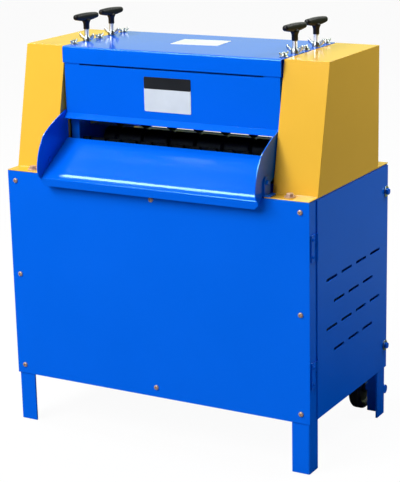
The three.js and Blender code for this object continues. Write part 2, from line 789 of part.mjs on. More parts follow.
// A small angle bracket on the cover's flange, with the pivot screw that carries one end of the tray
function trayBracket() {
  const earX = trayHalfWidth + seatGap;
  const foot = deckTop + seatGap + sheet + seatGap;
  const ear = new THREE.Shape();
  ear.moveTo(pivotY - bracketHalfWidth, foot);
  ear.lineTo(pivotY + bracketHalfWidth, foot);
  ear.lineTo(pivotY + bracketHalfWidth, pivotZ);
  ear.absarc(pivotY, pivotZ, bracketHalfWidth, 0, Math.PI, false);
  const plate = acrossX(ear, earX, earX + bracketThickness, curveSteps);
  const base = box(
    [earX, pivotY - bracketHalfWidth, foot],
    [earX + bracketThickness + bracketFoot, pivotY + bracketHalfWidth, foot + bracketThickness]);
  const headStart = cheekInner - seatGap - pivotHead;
  const pin = bar('x', pivotRadius, headStart, earX + bracketThickness, pivotY, pivotZ, coarse);
  const head = bar('x', pivotHeadRadius, headStart, headStart + pivotHead, pivotY, pivotZ, coarse);
  const nut = bar(
    'x', pivotHeadRadius, earX, earX + bracketThickness + pivotHeadRadius * 2 / 3, pivotY, pivotZ, hexagon);
  return join([plate, base, pin, head, nut]);
}

// Guide comb: a plate whose notches widen towards the right, one for each size of wire
function wireGuide() {
  const half = frameInner - seatGap;
  const foot = deckTop + seatGap;
  const pitch = half * 2 / combNotches;
  const points = [[-half, foot], [half, foot], [half, combTop]];
  for (let notch = combNotches - 1; notch >= 0; notch -= 1) {
    const middle = -half + pitch * (notch + 1 / 2);
    const width = pitch * (notch + combNotches / 2) / (combNotches * 2);
    points.push(
      [middle + width / 2, combTop], [middle, combTop - combNotchDepth], [middle - width / 2, combTop]);
  }
  points.push([-half, combTop]);
  const plate = acrossY(outline(points), combY, combY + combThickness);
  const base = box([-half, combY, foot], [half, combY + combFoot, foot + combFootThickness]);
  return join([plate, base]);
}

function outfeedChute() {
  const half = frameInner - seatGap;
  const floor = acrossX(strip([
    [chuteStartY, chuteStartZ], [chuteEndY, chuteEndZ], [chuteEndY + chuteLip / 4, chuteEndZ - chuteLip],
  ], sheet), -half, half);
  const wall = acrossX(outline([
    [chuteStartY, chuteStartZ - sheet], [chuteEndY, chuteEndZ - sheet],
    [chuteEndY, chuteEndZ + chuteSide / 2], [chuteStartY, chuteStartZ + chuteSide],
  ]), half - sheet, half);
  return join([floor, wall, mirrored(wall)]);
}

// Outline of a toothed wheel in Y and Z. One side of a tooth is a list of [radius, half angle]; tooth one
// stands at the given angle
function toothedOutline(teeth, flank, start) {
  const points = [];
  for (let tooth = 0; tooth < teeth; tooth += 1) {
    const middle = start + tooth * Math.PI * 2 / teeth;
    const sides = [...flank.map(([radius, half]) => [radius, -half]), ...[...flank].reverse()];
    sides.forEach(([radius, offset]) => points.push([
      radius * Math.cos(middle + offset), radius * Math.sin(middle + offset),
    ]));
  }
  return outline(points);
}

// Involute flank from the base circle to the tip, thinned by half of the backlash
function gearFlank(teeth) {
  const pitchRadius = gearModule * teeth / 2;
  const pressure = THREE.MathUtils.degToRad(pressureAngle);
  const base = pitchRadius * Math.cos(pressure);
  const root = pitchRadius - gearModule * dedendumShare;
  const tip = pitchRadius + gearModule;
  const involute = (radius) => {
    const angle = Math.acos(Math.min(base / radius, 1));
    return Math.tan(angle) - angle;
  };
  const halfAtPitch = Math.PI / teeth / 2 - gearBacklash / 4 / pitchRadius;
  const radii = [Math.max(base, root), pitchRadius, tip];
  const flank = radii.map((radius) => [radius, halfAtPitch + involute(pitchRadius) - involute(radius)]);
  return root < base ? [[root, flank[0][1]], ...flank] : flank;
}

function spurGear(teeth, start, axisZ) {
  const from = -(coverInner + gearSetOut + gearWidth);
  const wheel = acrossX(toothedOutline(teeth, gearFlank(teeth), start), from, from + gearWidth);
  const bore = bar('x', shaftRadius + seatGap, from - overrun, from + gearWidth + overrun, 0, 0);
  return cut(wheel, [bore]).translate(0, headMiddle, axisZ);
}

const sprocketRadius = (teeth) => chainPitch / 2 / Math.sin(Math.PI / teeth);
const sprocketTip = (teeth) => sprocketRadius(teeth) + sprocketTooth;

function sprocketWheel(teeth) {
  const pitchRadius = sprocketRadius(teeth);
  const flank = [
    [pitchRadius - sprocketTooth, Math.PI / teeth * rootShare],
    [pitchRadius + sprocketTooth, Math.PI / teeth * tipShare],
  ];
  const disc = acrossX(toothedOutline(teeth, flank, 0), chainX, chainX + sprocketWidth);
  const hub = bar('x', hubRadius, chainX - hubLength, chainX + sprocketWidth / 2, 0, 0);
  return join([disc, hub]);
}

function driveSprocket() {
  const shaftStart = gearboxX + seatGap - gearboxWidth / 4;
  const shaft = bar('x', gearboxShaftRadius, shaftStart, chainX + sprocketWidth + hubLength, 0, 0);
  return join([sprocketWheel(driveTeeth), shaft]).translate(0, gearboxY, gearboxAxis);
}

function drivenSprocket() {
  const boreEnd = chainX + sprocketWidth + overrun;
  const bore = bar('x', shaftRadius + seatGap, chainX - hubLength - overrun, boreEnd, 0, 0);
  return cut(sprocketWheel(drivenTeeth), [bore]).translate(0, headMiddle, lowerAxis);
}

// A closed loop round both sprockets, just clear of their teeth
function loopPath(Path, extra) {
  const low = new THREE.Vector2(gearboxY, gearboxAxis);
  const high = new THREE.Vector2(headMiddle, lowerAxis);
  const run = high.clone().sub(low);
  const lowRadius = sprocketTip(driveTeeth) + runGap + extra;
  const highRadius = sprocketTip(drivenTeeth) + runGap + extra;
  const lean = Math.acos((lowRadius - highRadius) / run.length());
  const heading = run.angle();
  const path = new Path();
  path.absarc(low.x, low.y, lowRadius, heading + lean, heading + Math.PI * 2 - lean, false);
  path.absarc(high.x, high.y, highRadius, heading - lean, heading + lean, false);
  return path;
}

function driveChain() {
  const loop = loopPath(THREE.Shape, chainThickness);
  loop.holes.push(loopPath(THREE.Path, 0));
  const from = chainX + (sprocketWidth - chainWidth) / 2;
  return acrossX(loop, from, from + chainWidth);
}

// Worm gearbox on the shelf, with a blind bore for the shaft of the drive sprocket
function gearbox() {
  const low = shelfTop + seatGap;
  const left = gearboxX - gearboxWidth / 2;
  const right = gearboxX + gearboxWidth / 2;
  const front = gearboxY - gearboxDepth / 2;
  const back = gearboxY + gearboxDepth / 2;
  const body = box([left, front, low + gearboxFoot / 2], [right, back, low + gearboxHeight]);
  const foot = box(
    [left - gearboxFootReach, front, low], [right + gearboxFootReach, back, low + gearboxFoot]);
  const boss = bar(
    'x', gearboxDepth / 3, left - gearboxFoot / 2, right + gearboxFoot / 2, gearboxY, gearboxAxis);
  const neck = bar('y', motorFlangeRadius * 3 / 4, back - overrun, back + motorFlange, gearboxX, motorAxis);
  const boreStart = gearboxX - gearboxWidth / 4;
  const bore = bar(
    'x', gearboxShaftRadius + runGap, boreStart, right + gearboxFoot, gearboxY, gearboxAxis);
  return cut(join([body, foot, boss, neck]), [bore]);
}

function motor() {
  const front = gearboxY + gearboxDepth / 2 + motorFlange + seatGap;
  const bodyFront = front + motorFlange;
  const bodyBack = cabinetDepth - sheet - motorBackGap;
  const points = [];
  for (let fin = 0; fin < motorFins; fin += 1) {
    const step = Math.PI * 2 / motorFins;
    motorFinShares.forEach(([turnShare, depthShare]) => {
      const angle = (fin + turnShare) * step;
      const radius = motorRadius - motorFinDepth * depthShare;
      points.push([gearboxX + radius * Math.cos(angle), motorAxis + radius * Math.sin(angle)]);
    });
  }
  const fins = acrossY(outline(points), bodyFront, bodyBack - motorFlange * 3);
  const flange = bar('y', motorFlangeRadius, front, bodyFront + seatGap, gearboxX, motorAxis);
  const cowl = bar('y', motorRadius, bodyBack - motorFlange * 3 - seatGap, bodyBack, gearboxX, motorAxis);
  const boxFront = (bodyFront + bodyBack - terminalBox) / 2;
  const terminals = box(
    [gearboxX - terminalBox / 2, boxFront, motorAxis + motorRadius - motorFinDepth * 2],
    [gearboxX + terminalBox / 2, boxFront + terminalBox, motorAxis + motorRadius + terminalBoxHeight]);
  return join([fins, flange, cowl, terminals]);
}

// Shafts run from the gears in the left cover to the right cover
const shaftLeft = -(coverInner + gearSetOut + gearWidth + hubLength / 2);

function lowerShaft() {
  return bar('x', shaftRadius, shaftLeft, chainX + sprocketWidth + hubLength, headMiddle, lowerAxis);
}

function knifeShaft() {
  return bar('x', shaftRadius, shaftLeft, coverInner + gearSetOut, headMiddle, upperAxis);
}

// Stations of the grooves in the roller, which are those of the knife discs
function grooveStations() {
  const pitch = rollerHalfLength * 2 / rollerGrooves;
  return Array.from({ length: rollerGrooves }, (_, groove) => -rollerHalfLength + pitch * (groove + 1 / 2));
}

function feedRoller() {
  const bore = shaftRadius + seatGap;
  const profile = [[bore, -rollerHalfLength], [lowerRadius, -rollerHalfLength]];
  grooveStations().forEach((station) => profile.push(
    [lowerRadius, station - grooveDepth],
    [lowerRadius - grooveDepth, station],
    [lowerRadius, station + grooveDepth]));
  profile.push([lowerRadius, rollerHalfLength], [bore, rollerHalfLength], [bore, -rollerHalfLength]);
  return turned(profile, headMiddle, lowerAxis);
}

function knifeStack() {
  const bore = shaftRadius + seatGap;
  const profile = [[bore, -rollerHalfLength], [knifeHubRadius, -rollerHalfLength]];
  const half = knifeThickness / 2;
  grooveStations().forEach((station) => profile.push(
    [knifeHubRadius, station - half], [knifeRadius - knifeBevel, station - half], [knifeRadius, station],
    [knifeRadius - knifeBevel, station + half], [knifeHubRadius, station + half]));
  profile.push([knifeHubRadius, rollerHalfLength], [bore, rollerHalfLength], [bore, -rollerHalfLength]);
  return turned(profile, headMiddle, upperAxis);
}

function lowerBearing() {
  const face = coverInner;
  const half = bearingFlange / 2;
  const bossEnd = face + bearingThickness + bearingBoss;
  const flange = box(
    [face, headMiddle - half, lowerAxis - half],
    [face + bearingThickness, headMiddle + half, lowerAxis + half]);
  const boss = bar('x', bearingBossRadius, face + bearingThickness / 2, bossEnd, headMiddle, lowerAxis);
  const bore = bar('x', shaftRadius + seatGap, face - overrun, bossEnd + overrun, headMiddle, lowerAxis);
  return cut(join([flange, boss]), [bore]);
}

// Switch box on the left panel, with blind guides for the two buttons
const switchFace = -(halfWidth + seatGap + switchDepth);
const buttonZs = [switchZ - buttonPitch / 2, switchZ + buttonPitch / 2];

function switchBox() {
  const body = box(
    [switchFace, switchY - switchWidth / 2, switchZ - switchHeight / 2],
    [-halfWidth - seatGap, switchY + switchWidth / 2, switchZ + switchHeight / 2]);
  const guideEnd = switchFace + buttonGuide + buttonTravel + runGap;
  const guides = buttonZs.map((z) => bar(
    'x', buttonRadius + runGap, switchFace - overrun, guideEnd, switchY, z));
  return cut(body, guides);
}

function button(z) {
  return bar('x', buttonRadius, switchFace - buttonProud, switchFace + buttonGuide, switchY, z);
}

function cableGland() {
  const back = cabinetDepth + glandProud;
  const body = bar('y', glandRadius, legBack - glandNutThickness, back, glandX, glandZ);
  const nut = bar(
    'y', glandNut, cabinetDepth + seatGap, cabinetDepth + glandNutThickness, glandX, glandZ, hexagon);
  const bore = bar('y', glandBore, legBack - overrun * 2, back + overrun, glandX, glandZ, coarse);
  return cut(join([body, nut]), [bore]);
}

function wheel() {
  const outer = wheelInner + wheelWidth;
  const bore = axleRadius + runGap;
  const rim = wheelRadius * 3 / 4;
  return turned([
    [bore, wheelInner], [wheelHubRadius, wheelInner], [wheelHubRadius, wheelInner + wheelDish],
    [rim, wheelInner + wheelDish], [rim, wheelInner], [wheelRadius - wheelDish / 2, wheelInner],
    [wheelRadius, wheelInner + wheelDish], [wheelRadius, outer - wheelDish],
    [wheelRadius - wheelDish / 2, outer],
    [rim, outer], [rim, outer - wheelDish], [wheelHubRadius, outer - wheelDish], [wheelHubRadius, outer],
    [bore, outer], [bore, wheelInner],
  ], axleY, axleZ, roundest);
}

// The machine, piece by piece
const paint = (name, geometry, color = blue) => place(machine, name, geometry, color, 'paint');
const metal = (name, geometry, color = steel) => place(machine, name, geometry, color, 'metal');
const plastic = (name, geometry, color = black) => place(machine, name, geometry, color, 'plastic');

paint('leg_front_right', frontLeg(1));
paint('leg_front_left', frontLeg(-1));
paint('leg_rear_right', rearLeg(1));
paint('leg_rear_left', rearLeg(-1));
paint('lower_frame', lowerFrame());
paint('top_plate', topPlate());
paint('front_panel', frontPanel());
paint('left_panel', leftPanel());
paint('rear_panel', rearPanel());
paint('side_door', sideDoor());
paint('door_hinge_lower', doorHinge(hingeLowBottom));
paint('door_hinge_upper', doorHinge(hingeHighBottom));
metal('door_screw_lower', doorScrew(doorScrewLow));
metal('door_screw_upper', doorScrew(doorScrewHigh));
paint('side_frame_right', sideFrame());
paint('side_frame_left', mirrored(sideFrame()));
paint('crosshead_right', crosshead());
paint('crosshead_left', mirrored(crosshead()));
paint('cover_right', cover(), yellow);
paint('cover_left', mirrored(cover()), yellow);
paint('lid', lid());
paint('front_guard', frontGuard());
paint('infeed_tray', infeedTray());
paint('tray_bracket_right', trayBracket());
paint('tray_bracket_left', mirrored(trayBracket()));
paint('outfeed_chute', outfeedChute());
metal('wire_guide', wireGuide());
metal('lower_shaft', lowerShaft());
metal('feed_roller', feedRoller());
metal('lower_gear', spurGear(lowerTeeth, Math.PI / 2, lowerAxis));
metal('driven_sprocket', drivenSprocket());
metal('lower_bearing_right', lowerBearing());
metal('lower_bearing_left', mirrored(lowerBearing()));
metal('knife_shaft', knifeShaft());
metal('knife_stack', knifeStack());
// A tooth of the lower gear stands straight up, and a gap of the upper gear hangs straight down
const upperGearStart = Math.PI / 2 + Math.PI / upperTeeth * (upperTeeth % 2 === 0 ? 1 : 0);
metal('upper_gear', spurGear(upperTeeth, upperGearStart, upperAxis));
metal('bearing_block_right', bearingBlock());
metal('bearing_block_left', mirrored(bearingBlock()));
paint('gearbox', gearbox(), grey);
paint('motor', motor(), grey);
metal('drive_sprocket', driveSprocket());
metal('drive_chain', driveChain());
plastic('switch_box', switchBox(), grey);
plastic('stop_button', button(buttonZs[0]), red);
plastic('start_button', button(buttonZs[1]), green);
plastic('cable_gland', cableGland());
plastic('wheel_right', wheel());
plastic('wheel_left', mirrored(wheel()));

// Press screws with their grips and lock nuts: two at each end of the lid
const corners = [['left', -1], ['right', 1]].flatMap(([word, side]) => [
  [`front_${word}`, side * screwX, screwYs[0]], [`rear_${word}`, side * screwX, screwYs[1]],
]);
corners.forEach(([word, x, y]) => {
  metal(`press_screw_${word}`, pressScrew()).position.set(x, y, 0);
  const grip = plastic(`tee_grip_${word}`, teeGrip());
  grip.position.set(x, y, 0);
  grip.rotation.z = -THREE.MathUtils.degToRad(gripTurn);
  metal(`lock_wing_nut_${word}`, wingNut(), zinc).position.set(x, y, 0);
});

// The origin is the middle of the footprint: half-way between the switch buttons and the door screws,
// and half-way between the tray's nose and the wheels
const reachLeft = switchFace - buttonProud;
const reachRight = halfWidth + seatGap + doorScrewHead;
const reachFront = cheekNose;
const reachBack = axleY + wheelRadius;
const part = new THREE.Group();
machine.position.set(-(reachLeft + reachRight) / 2, -(reachFront + reachBack) / 2, 0);
part.add(machine);
part.updateMatrixWorld(true);

export default part;
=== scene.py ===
# Wire stripping machine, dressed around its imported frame. Metres, +Z up, front towards -Y.
import json
import math
import bmesh
import bpy
from mathutils import Matrix, Vector


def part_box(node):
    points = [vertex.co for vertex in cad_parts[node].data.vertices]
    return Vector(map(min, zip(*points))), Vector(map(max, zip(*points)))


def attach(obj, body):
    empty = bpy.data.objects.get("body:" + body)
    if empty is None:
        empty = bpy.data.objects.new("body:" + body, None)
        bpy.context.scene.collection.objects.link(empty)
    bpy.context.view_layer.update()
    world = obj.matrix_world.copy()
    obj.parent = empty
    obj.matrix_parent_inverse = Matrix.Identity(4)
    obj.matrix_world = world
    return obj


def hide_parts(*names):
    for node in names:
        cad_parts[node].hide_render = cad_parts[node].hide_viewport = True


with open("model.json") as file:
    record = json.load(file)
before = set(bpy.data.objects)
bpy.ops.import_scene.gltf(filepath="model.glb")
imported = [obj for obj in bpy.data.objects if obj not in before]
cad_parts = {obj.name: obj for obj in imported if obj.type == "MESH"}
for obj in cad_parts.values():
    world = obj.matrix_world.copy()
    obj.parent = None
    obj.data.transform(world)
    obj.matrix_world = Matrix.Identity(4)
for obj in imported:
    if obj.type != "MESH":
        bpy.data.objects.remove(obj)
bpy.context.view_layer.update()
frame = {"nodes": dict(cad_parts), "record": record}

nodes = frame["nodes"]
mm = 0.001
print("frame loaded")

# Camera at the photograph's angle
camera = {
    "place": (1.5847, -2.7449, 1.2462),
    "azimuth": 29.73,
    "elevation": 15.24,
    "roll": -1.28,
    "lens": 116.64,
    "sensor": 36,
    "clip": (0.05, 60),
}


def makeCamera():
    data = bpy.data.cameras.new("camera")
    data.sensor_width = camera["sensor"]
    data.lens = camera["lens"]
    data.clip_start, data.clip_end = camera["clip"]
    obj = bpy.data.objects.new("camera", data)
    bpy.context.scene.collection.objects.link(obj)
    az, el, roll = (math.radians(camera[key]) for key in ("azimuth", "elevation", "roll"))
    ahead = Vector((-math.sin(az) * math.cos(el), math.cos(az) * math.cos(el), -math.sin(el)))
    level = Vector((math.cos(az), math.sin(az), 0))
    above = level.cross(ahead)
    right = level * math.cos(roll) + above * math.sin(roll)
    up = above * math.cos(roll) - level * math.sin(roll)
    turn = Matrix((right, up, -ahead)).transposed().to_4x4()
    obj.matrix_world = Matrix.Translation(camera["place"]) @ turn
    bpy.context.scene.camera = obj


makeCamera()

# Finishes: every colour is linear, and every pattern is in metres on Object coordinates
paints = {
    "bluePaint": {"color": (0.0006, 0.125, 0.80), "rough": 0.11, "peel": 0.00006, "tint": (0.4, 0.95, 1.0)},
    "yellowPaint": {"color": (0.81, 0.468, 0.046), "rough": 0.16, "peel": 0.00006, "tint": (1.0, 1.0, 1.0)},
}
metals = {
    "machinedSteel": {"color": (0.42, 0.42, 0.43), "rough": 0.34, "grain": (900, 40, 40)},
    "zincPlate": {"color": (0.60, 0.65, 0.65), "rough": 0.3, "grain": (120, 120, 120)},
    "threadedZinc": {"color": (0.66, 0.68, 0.68), "rough": 0.34, "grain": (120, 120, 120), "pitch": 0.0015},
    "oiledSteel": {"color": (0.16, 0.155, 0.15), "rough": 0.38, "grain": (200, 200, 200)},
    # dark steel, made nearly black to paint the shade inside the throat
    "dullSteel": {"color": (0.016, 0.02, 0.028), "rough": 0.5, "grain": (200, 200, 200)},
    "warmScrew": {"color": (0.64, 0.44, 0.34), "rough": 0.32, "grain": (300, 300, 300), "metallic": 0.4},
}
plastics = {
    "gripPlastic": {
        "color": (0.007, 0.007, 0.008), "rough": 0.42, "grain": 900, "depth": 0.00004, "level": 0.25,
    },
    "boxPlastic": {"color": (0.30, 0.31, 0.32), "rough": 0.45, "grain": 1400, "depth": 0.00006},
    "glandPlastic": {"color": (0.02, 0.02, 0.021), "rough": 0.42, "grain": 900, "depth": 0.00004},
    "redPlastic": {"color": (0.55, 0.012, 0.01), "rough": 0.25, "grain": 700, "depth": 0.00002},
    "greenPlastic": {"color": (0.01, 0.30, 0.07), "rough": 0.25, "grain": 700, "depth": 0.00002},
    "wheelRubber": {"color": (0.013, 0.013, 0.014), "rough": 0.62, "grain": 500, "depth": 0.00012},
    "wheelHubPlastic": {"color": (0.02, 0.02, 0.022), "rough": 0.42, "grain": 900, "depth": 0.00004},
    "castPaint": {"color": (0.13, 0.15, 0.165), "rough": 0.48, "grain": 260, "depth": 0.0003},
    "blueCasting": {"color": (0.004, 0.06, 0.30), "rough": 0.42, "grain": 260, "depth": 0.0003},
    "plateWhite": {"color": (0.64, 0.70, 0.76), "rough": 0.36, "grain": 900, "depth": 0.00001},
    "plateBand": {"color": (0.012, 0.014, 0.018), "rough": 0.36, "grain": 900, "depth": 0.00001},
    "plateGrey": {"color": (0.66, 0.69, 0.71), "rough": 0.3, "grain": 900, "depth": 0.00001},
}
# What all finishes of a kind share: scales of the noise per metre, spreads of the shade and the roughness
paintFilm = {"cloudScale": 5.0, "peelScale": 260.0, "shadeSpread": 0.05, "roughShares": (0.85, 1.2)}
metalFace = {
    "stainScale": 38.0,
    "shadeSpread": 0.16,
    "roughShares": (0.75, 1.35),
    "grainDepth": 0.00004,
    "grainStrength": 0.6,
    "threadDepth": 0.0004,
    "threadStrength": 0.9,
}
plasticSkin = {"hazeScale": 24.0, "shadeSpread": 0.12, "roughShares": (0.9, 1.15)}
finishes = {}


def newMaterial(name):
    material = bpy.data.materials.new(name)
    material.use_nodes = True
    tree = material.node_tree
    shader = tree.nodes["Principled BSDF"]
    coords = tree.nodes.new("ShaderNodeTexCoord")
    finishes[name] = material
    return tree, shader, coords


def noiseNode(tree, coords, scale, detail=3.0):
    noise = tree.nodes.new("ShaderNodeTexNoise")
    noise.inputs["Scale"].default_value = scale
    noise.inputs["Detail"].default_value = detail
    tree.links.new(coords.outputs["Object"], noise.inputs["Vector"])
    return noise


def rampNode(tree, source, low, high, start=0.3, end=0.7):
    ramp = tree.nodes.new("ShaderNodeMapRange")
    ramp.inputs["From Min"].default_value = start
    ramp.inputs["From Max"].default_value = end
    ramp.inputs["To Min"].default_value = low
    ramp.inputs["To Max"].default_value = high
    tree.links.new(source, ramp.inputs["Value"])
    return ramp.outputs["Result"]


def shadeVaried(tree, shader, source, color, amount):
    mix = tree.nodes.new("ShaderNodeMix")
    mix.data_type = "RGBA"
    mix.inputs["A"].default_value = (*[channel * (1 - amount) for channel in color], 1)
    mix.inputs["B"].default_value = (*[min(channel * (1 + amount), 1) for channel in color], 1)
    tree.links.new(source, mix.inputs["Factor"])
    tree.links.new(mix.outputs["Result"], shader.inputs["Base Color"])


def roughVaried(tree, shader, source, rough, shares):
    ramp = rampNode(tree, source, rough * shares[0], rough * shares[1])
    tree.links.new(ramp, shader.inputs["Roughness"])


def bumpFrom(tree, shader, source, depth, strength=1.0):
    bump = tree.nodes.new("ShaderNodeBump")
    bump.inputs["Distance"].default_value = depth
    bump.inputs["Strength"].default_value = strength
    tree.links.new(source, bump.inputs["Height"])
    tree.links.new(bump.outputs["Normal"], shader.inputs["Normal"])


def makePaint(name, look):
    tree, shader, coords = newMaterial(name)
    clouds = noiseNode(tree, coords, paintFilm["cloudScale"])
    peel = noiseNode(tree, coords, paintFilm["peelScale"], 2.0)
    shadeVaried(tree, shader, clouds.outputs["Fac"], look["color"], paintFilm["shadeSpread"])
    roughVaried(tree, shader, clouds.outputs["Fac"], look["rough"], paintFilm["roughShares"])
    bumpFrom(tree, shader, peel.outputs["Fac"], look["peel"])
    shader.inputs["Specular Tint"].default_value = (*look["tint"], 1)


def makeMetal(name, look):
    tree, shader, coords = newMaterial(name)
    mapping = tree.nodes.new("ShaderNodeMapping")
    mapping.inputs["Scale"].default_value = look["grain"]
    tree.links.new(coords.outputs["Object"], mapping.inputs["Vector"])
    grain = tree.nodes.new("ShaderNodeTexNoise")
    grain.inputs["Scale"].default_value = 1.0
    grain.inputs["Detail"].default_value = 4.0
    tree.links.new(mapping.outputs["Vector"], grain.inputs["Vector"])
    stain = noiseNode(tree, coords, metalFace["stainScale"])
    shadeVaried(tree, shader, stain.outputs["Fac"], look["color"], metalFace["shadeSpread"])
    roughVaried(tree, shader, grain.outputs["Fac"], look["rough"], metalFace["roughShares"])
    if "pitch" in look:
        thread = tree.nodes.new("ShaderNodeTexWave")
        thread.bands_direction = "Z"
        thread.inputs["Scale"].default_value = math.pi / (10 * look["pitch"])
        tree.links.new(coords.outputs["Object"], thread.inputs["Vector"])
        bumpFrom(tree, shader, thread.outputs["Fac"], metalFace["threadDepth"], metalFace["threadStrength"])
    else:
        bumpFrom(tree, shader, grain.outputs["Fac"], metalFace["grainDepth"], metalFace["grainStrength"])
    shader.inputs["Metallic"].default_value = look.get("metallic", 1.0)


def makePlastic(name, look):
    tree, shader, coords = newMaterial(name)
    grain = noiseNode(tree, coords, look["grain"], 2.0)
    haze = noiseNode(tree, coords, plasticSkin["hazeScale"])
    shadeVaried(tree, shader, haze.outputs["Fac"], look["color"], plasticSkin["shadeSpread"])
    roughVaried(tree, shader, haze.outputs["Fac"], look["rough"], plasticSkin["roughShares"])
    shader.inputs["Specular IOR Level"].default_value = look.get("level", 0.5)
    bumpFrom(tree, shader, grain.outputs["Fac"], look["depth"])


for maker, looks in ((makePaint, paints), (makeMetal, metals), (makePlastic, plastics)):
    for name, look in looks.items():
        maker(name, look)
print("finishes ready")

# The finish of each material slot in the record
slotFinish = {
    "blue_paint": "bluePaint",
    "yellow_paint": "yellowPaint",
    "bright_steel": "machinedSteel",
    "zinc": "zincPlate",
    "bearing_iron": "blueCasting",
    "grey_casting": "castPaint",
    "grip_plastic": "gripPlastic",
    "box_plastic": "boxPlastic",
    "gland_plastic": "glandPlastic",
    "red_button": "redPlastic",
    "green_button": "greenPlastic",
    "wheel_rubber": "wheelRubber",
}
nodeSlot = {entry["node"]: entry["material_slot"] for entry in frame["record"]["subparts"]}
bodies = frame["record"]["behaviour"]["bodies"]
nodeBody = {node: body for body, names in bodies.items() for node in names}

for node, obj in nodes.items():
    obj.data.materials.clear()
    threaded = node.startswith("press_screw_")
    obj.data.materials.append(finishes["threadedZinc" if threaded else slotFinish[nodeSlot[node]]])


# Gives a piece its finish and its body, and hides the nodes that it stands for
def finishPiece(obj, body, slotName, finish, *replaced):
    if finish:
        obj.data.materials.clear()
        obj.data.materials.append(finishes[finish])
    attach(obj, body)
    if replaced:
        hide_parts(*replaced)
    return obj


def objectFrom(name, bm, smoothAngle):
    mesh = bpy.data.meshes.new(name)
    bm.to_mesh(mesh)
    bm.free()
    mesh.polygons.foreach_set("use_smooth", [True] * len(mesh.polygons))
    mesh.set_sharp_from_angle(angle=math.radians(smoothAngle))
    obj = bpy.data.objects.new(name, mesh)
    bpy.context.scene.collection.objects.link(obj)
    return obj


# How a CAD node's copy is cleaned and rounded: a distance in metres, angles in degrees
skin = {"weld": 2e-6, "flat": 1, "smooth": 35, "segments": 2}


def bevelled(obj, width, angle):
    bevel = obj.modifiers.new("edges", "BEVEL")
    bevel.width = width
    bevel.segments = skin["segments"]
    bevel.limit_method = "ANGLE"
    bevel.angle_limit = math.radians(angle)
    bevel.harden_normals = True
    normals = obj.modifiers.new("flatFaces", "WEIGHTED_NORMAL")
    normals.keep_sharp = True
    return obj


# A copy of a CAD node with its flat faces whole and its edges rounded
def refined(node, width, smooth):
    bm = bmesh.new()
    bm.from_mesh(nodes[node].data)
    bmesh.ops.remove_doubles(bm, verts=bm.verts, dist=skin["weld"])
    bmesh.ops.dissolve_limit(
        bm, angle_limit=math.radians(skin["flat"]), verts=bm.verts, edges=bm.edges)
    return bevelled(objectFrom(node + "_skin", bm, smooth), width, smooth)


# Folded sheet, castings and turned pieces keep the CAD shape, with rounded edges in millimetres
edgeWidths = {
    "leg_front_right": 0.5, "leg_front_left": 0.5, "leg_rear_right": 0.5, "leg_rear_left": 0.5,
    "lower_frame": 0.8, "top_plate": 0.5, "front_panel": 0.6, "left_panel": 0.45, "rear_panel": 0.5,
    "side_door": 0.45, "door_hinge_lower": 0.4, "door_hinge_upper": 0.4, "side_frame_right": 0.8,
    "side_frame_left": 0.8, "crosshead_right": 0.8, "crosshead_left": 0.8, "cover_right": 0.9,
    "cover_left": 0.9, "front_guard": 0.7, "tray_bracket_right": 0.4, "tray_bracket_left": 0.4,
    "outfeed_chute": 0.6, "bearing_block_right": 0.6, "bearing_block_left": 0.6, "wire_guide": 0.3,
    "gearbox": 2.2, "motor": 0.8, "switch_box": 1.0, "lower_bearing_right": 1.0,
    "lower_bearing_left": 1.0, "infeed_tray": 0.6, "lid": 0.6, "feed_roller": 0.6, "knife_stack": 0.2,
    "knife_shaft": 0.8, "lower_shaft": 0.8, "lower_gear": 0.3, "upper_gear": 0.3,
    "drive_sprocket": 0.3, "driven_sprocket": 0.3, "cable_gland": 0.8,
}
softFolds = {"lid": 50}     # degrees up to which the facets of a fold are shaded as one
# the feed roller, knives and wire guide in the throat take the nearly black steel, which paints the
# throat's shade
nodeFinish = {
    "feed_roller": "dullSteel", "knife_stack": "dullSteel", "knife_shaft": "oiledSteel",
    "lower_shaft": "oiledSteel", "lower_gear": "oiledSteel", "upper_gear": "oiledSteel",
    "drive_sprocket": "oiledSteel", "driven_sprocket": "oiledSteel", "wire_guide": "dullSteel",
}


def dressSheet():
    for node, width in edgeWidths.items():
        rounded = refined(node, width * mm, softFolds.get(node, skin["smooth"]))
        finish = nodeFinish.get(node, slotFinish[nodeSlot[node]])
        finishPiece(rounded, nodeBody[node], nodeSlot[node], finish, node)


dressSheet()
print("sheet metal dressed")

# Millimetres from the middle of the front panel's face, at floor level
panelLow, panelHigh = (Vector(corner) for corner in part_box("front_panel"))
panelMiddle = Vector(((panelLow.x + panelHigh.x) / 2, panelLow.y, 0))


def at(x, y, z):
    return panelMiddle + Vector((x, y, z)) * mm


def boxOf(node):
    low, high = (Vector(corner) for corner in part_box(node))
    return low, high, (low + high) / 2


# Joins rings of points into a skin; a ring of one point closes an end
def skinLoops(bm, loops, closed=False):
    pairs = list(zip(loops, loops[1:]))
    if closed:
        pairs.append((loops[-1], loops[0]))
    for low, high in pairs:
        count = max(len(low), len(high))
        for step in range(count):
            after = (step + 1) % count
            if len(low) == 1:
                bm.faces.new((low[0], high[after], high[step]))
            elif len(high) == 1:
                bm.faces.new((low[step], low[after], high[0]))
            else:
                bm.faces.new((low[step], low[after], high[after], high[step]))


# Rings about Z, in millimetres: each is a radius, or a function of the angle, and a height
def ringed(bm, rings, steps=48, turn=Matrix(), closed=False):
    loops = []
    for radius, height in rings:
        if radius == 0:
            loops.append([bm.verts.new(turn @ Vector((0, 0, height * mm)))])
            continue
        loop = []
        for step in range(steps):
            angle = 2 * math.pi * step / steps
            reach = (radius(angle) if callable(radius) else radius) * mm
            point = Vector((reach * math.cos(angle), reach * math.sin(angle), height * mm))
            loop.append(bm.verts.new(turn @ point))
        loops.append(loop)
    skinLoops(bm, loops, closed)


def hexagon(acrossFlats):
    sixth = math.pi / 3
    return lambda angle: acrossFlats / 2 / math.cos((angle + sixth / 2) % sixth - sixth / 2)


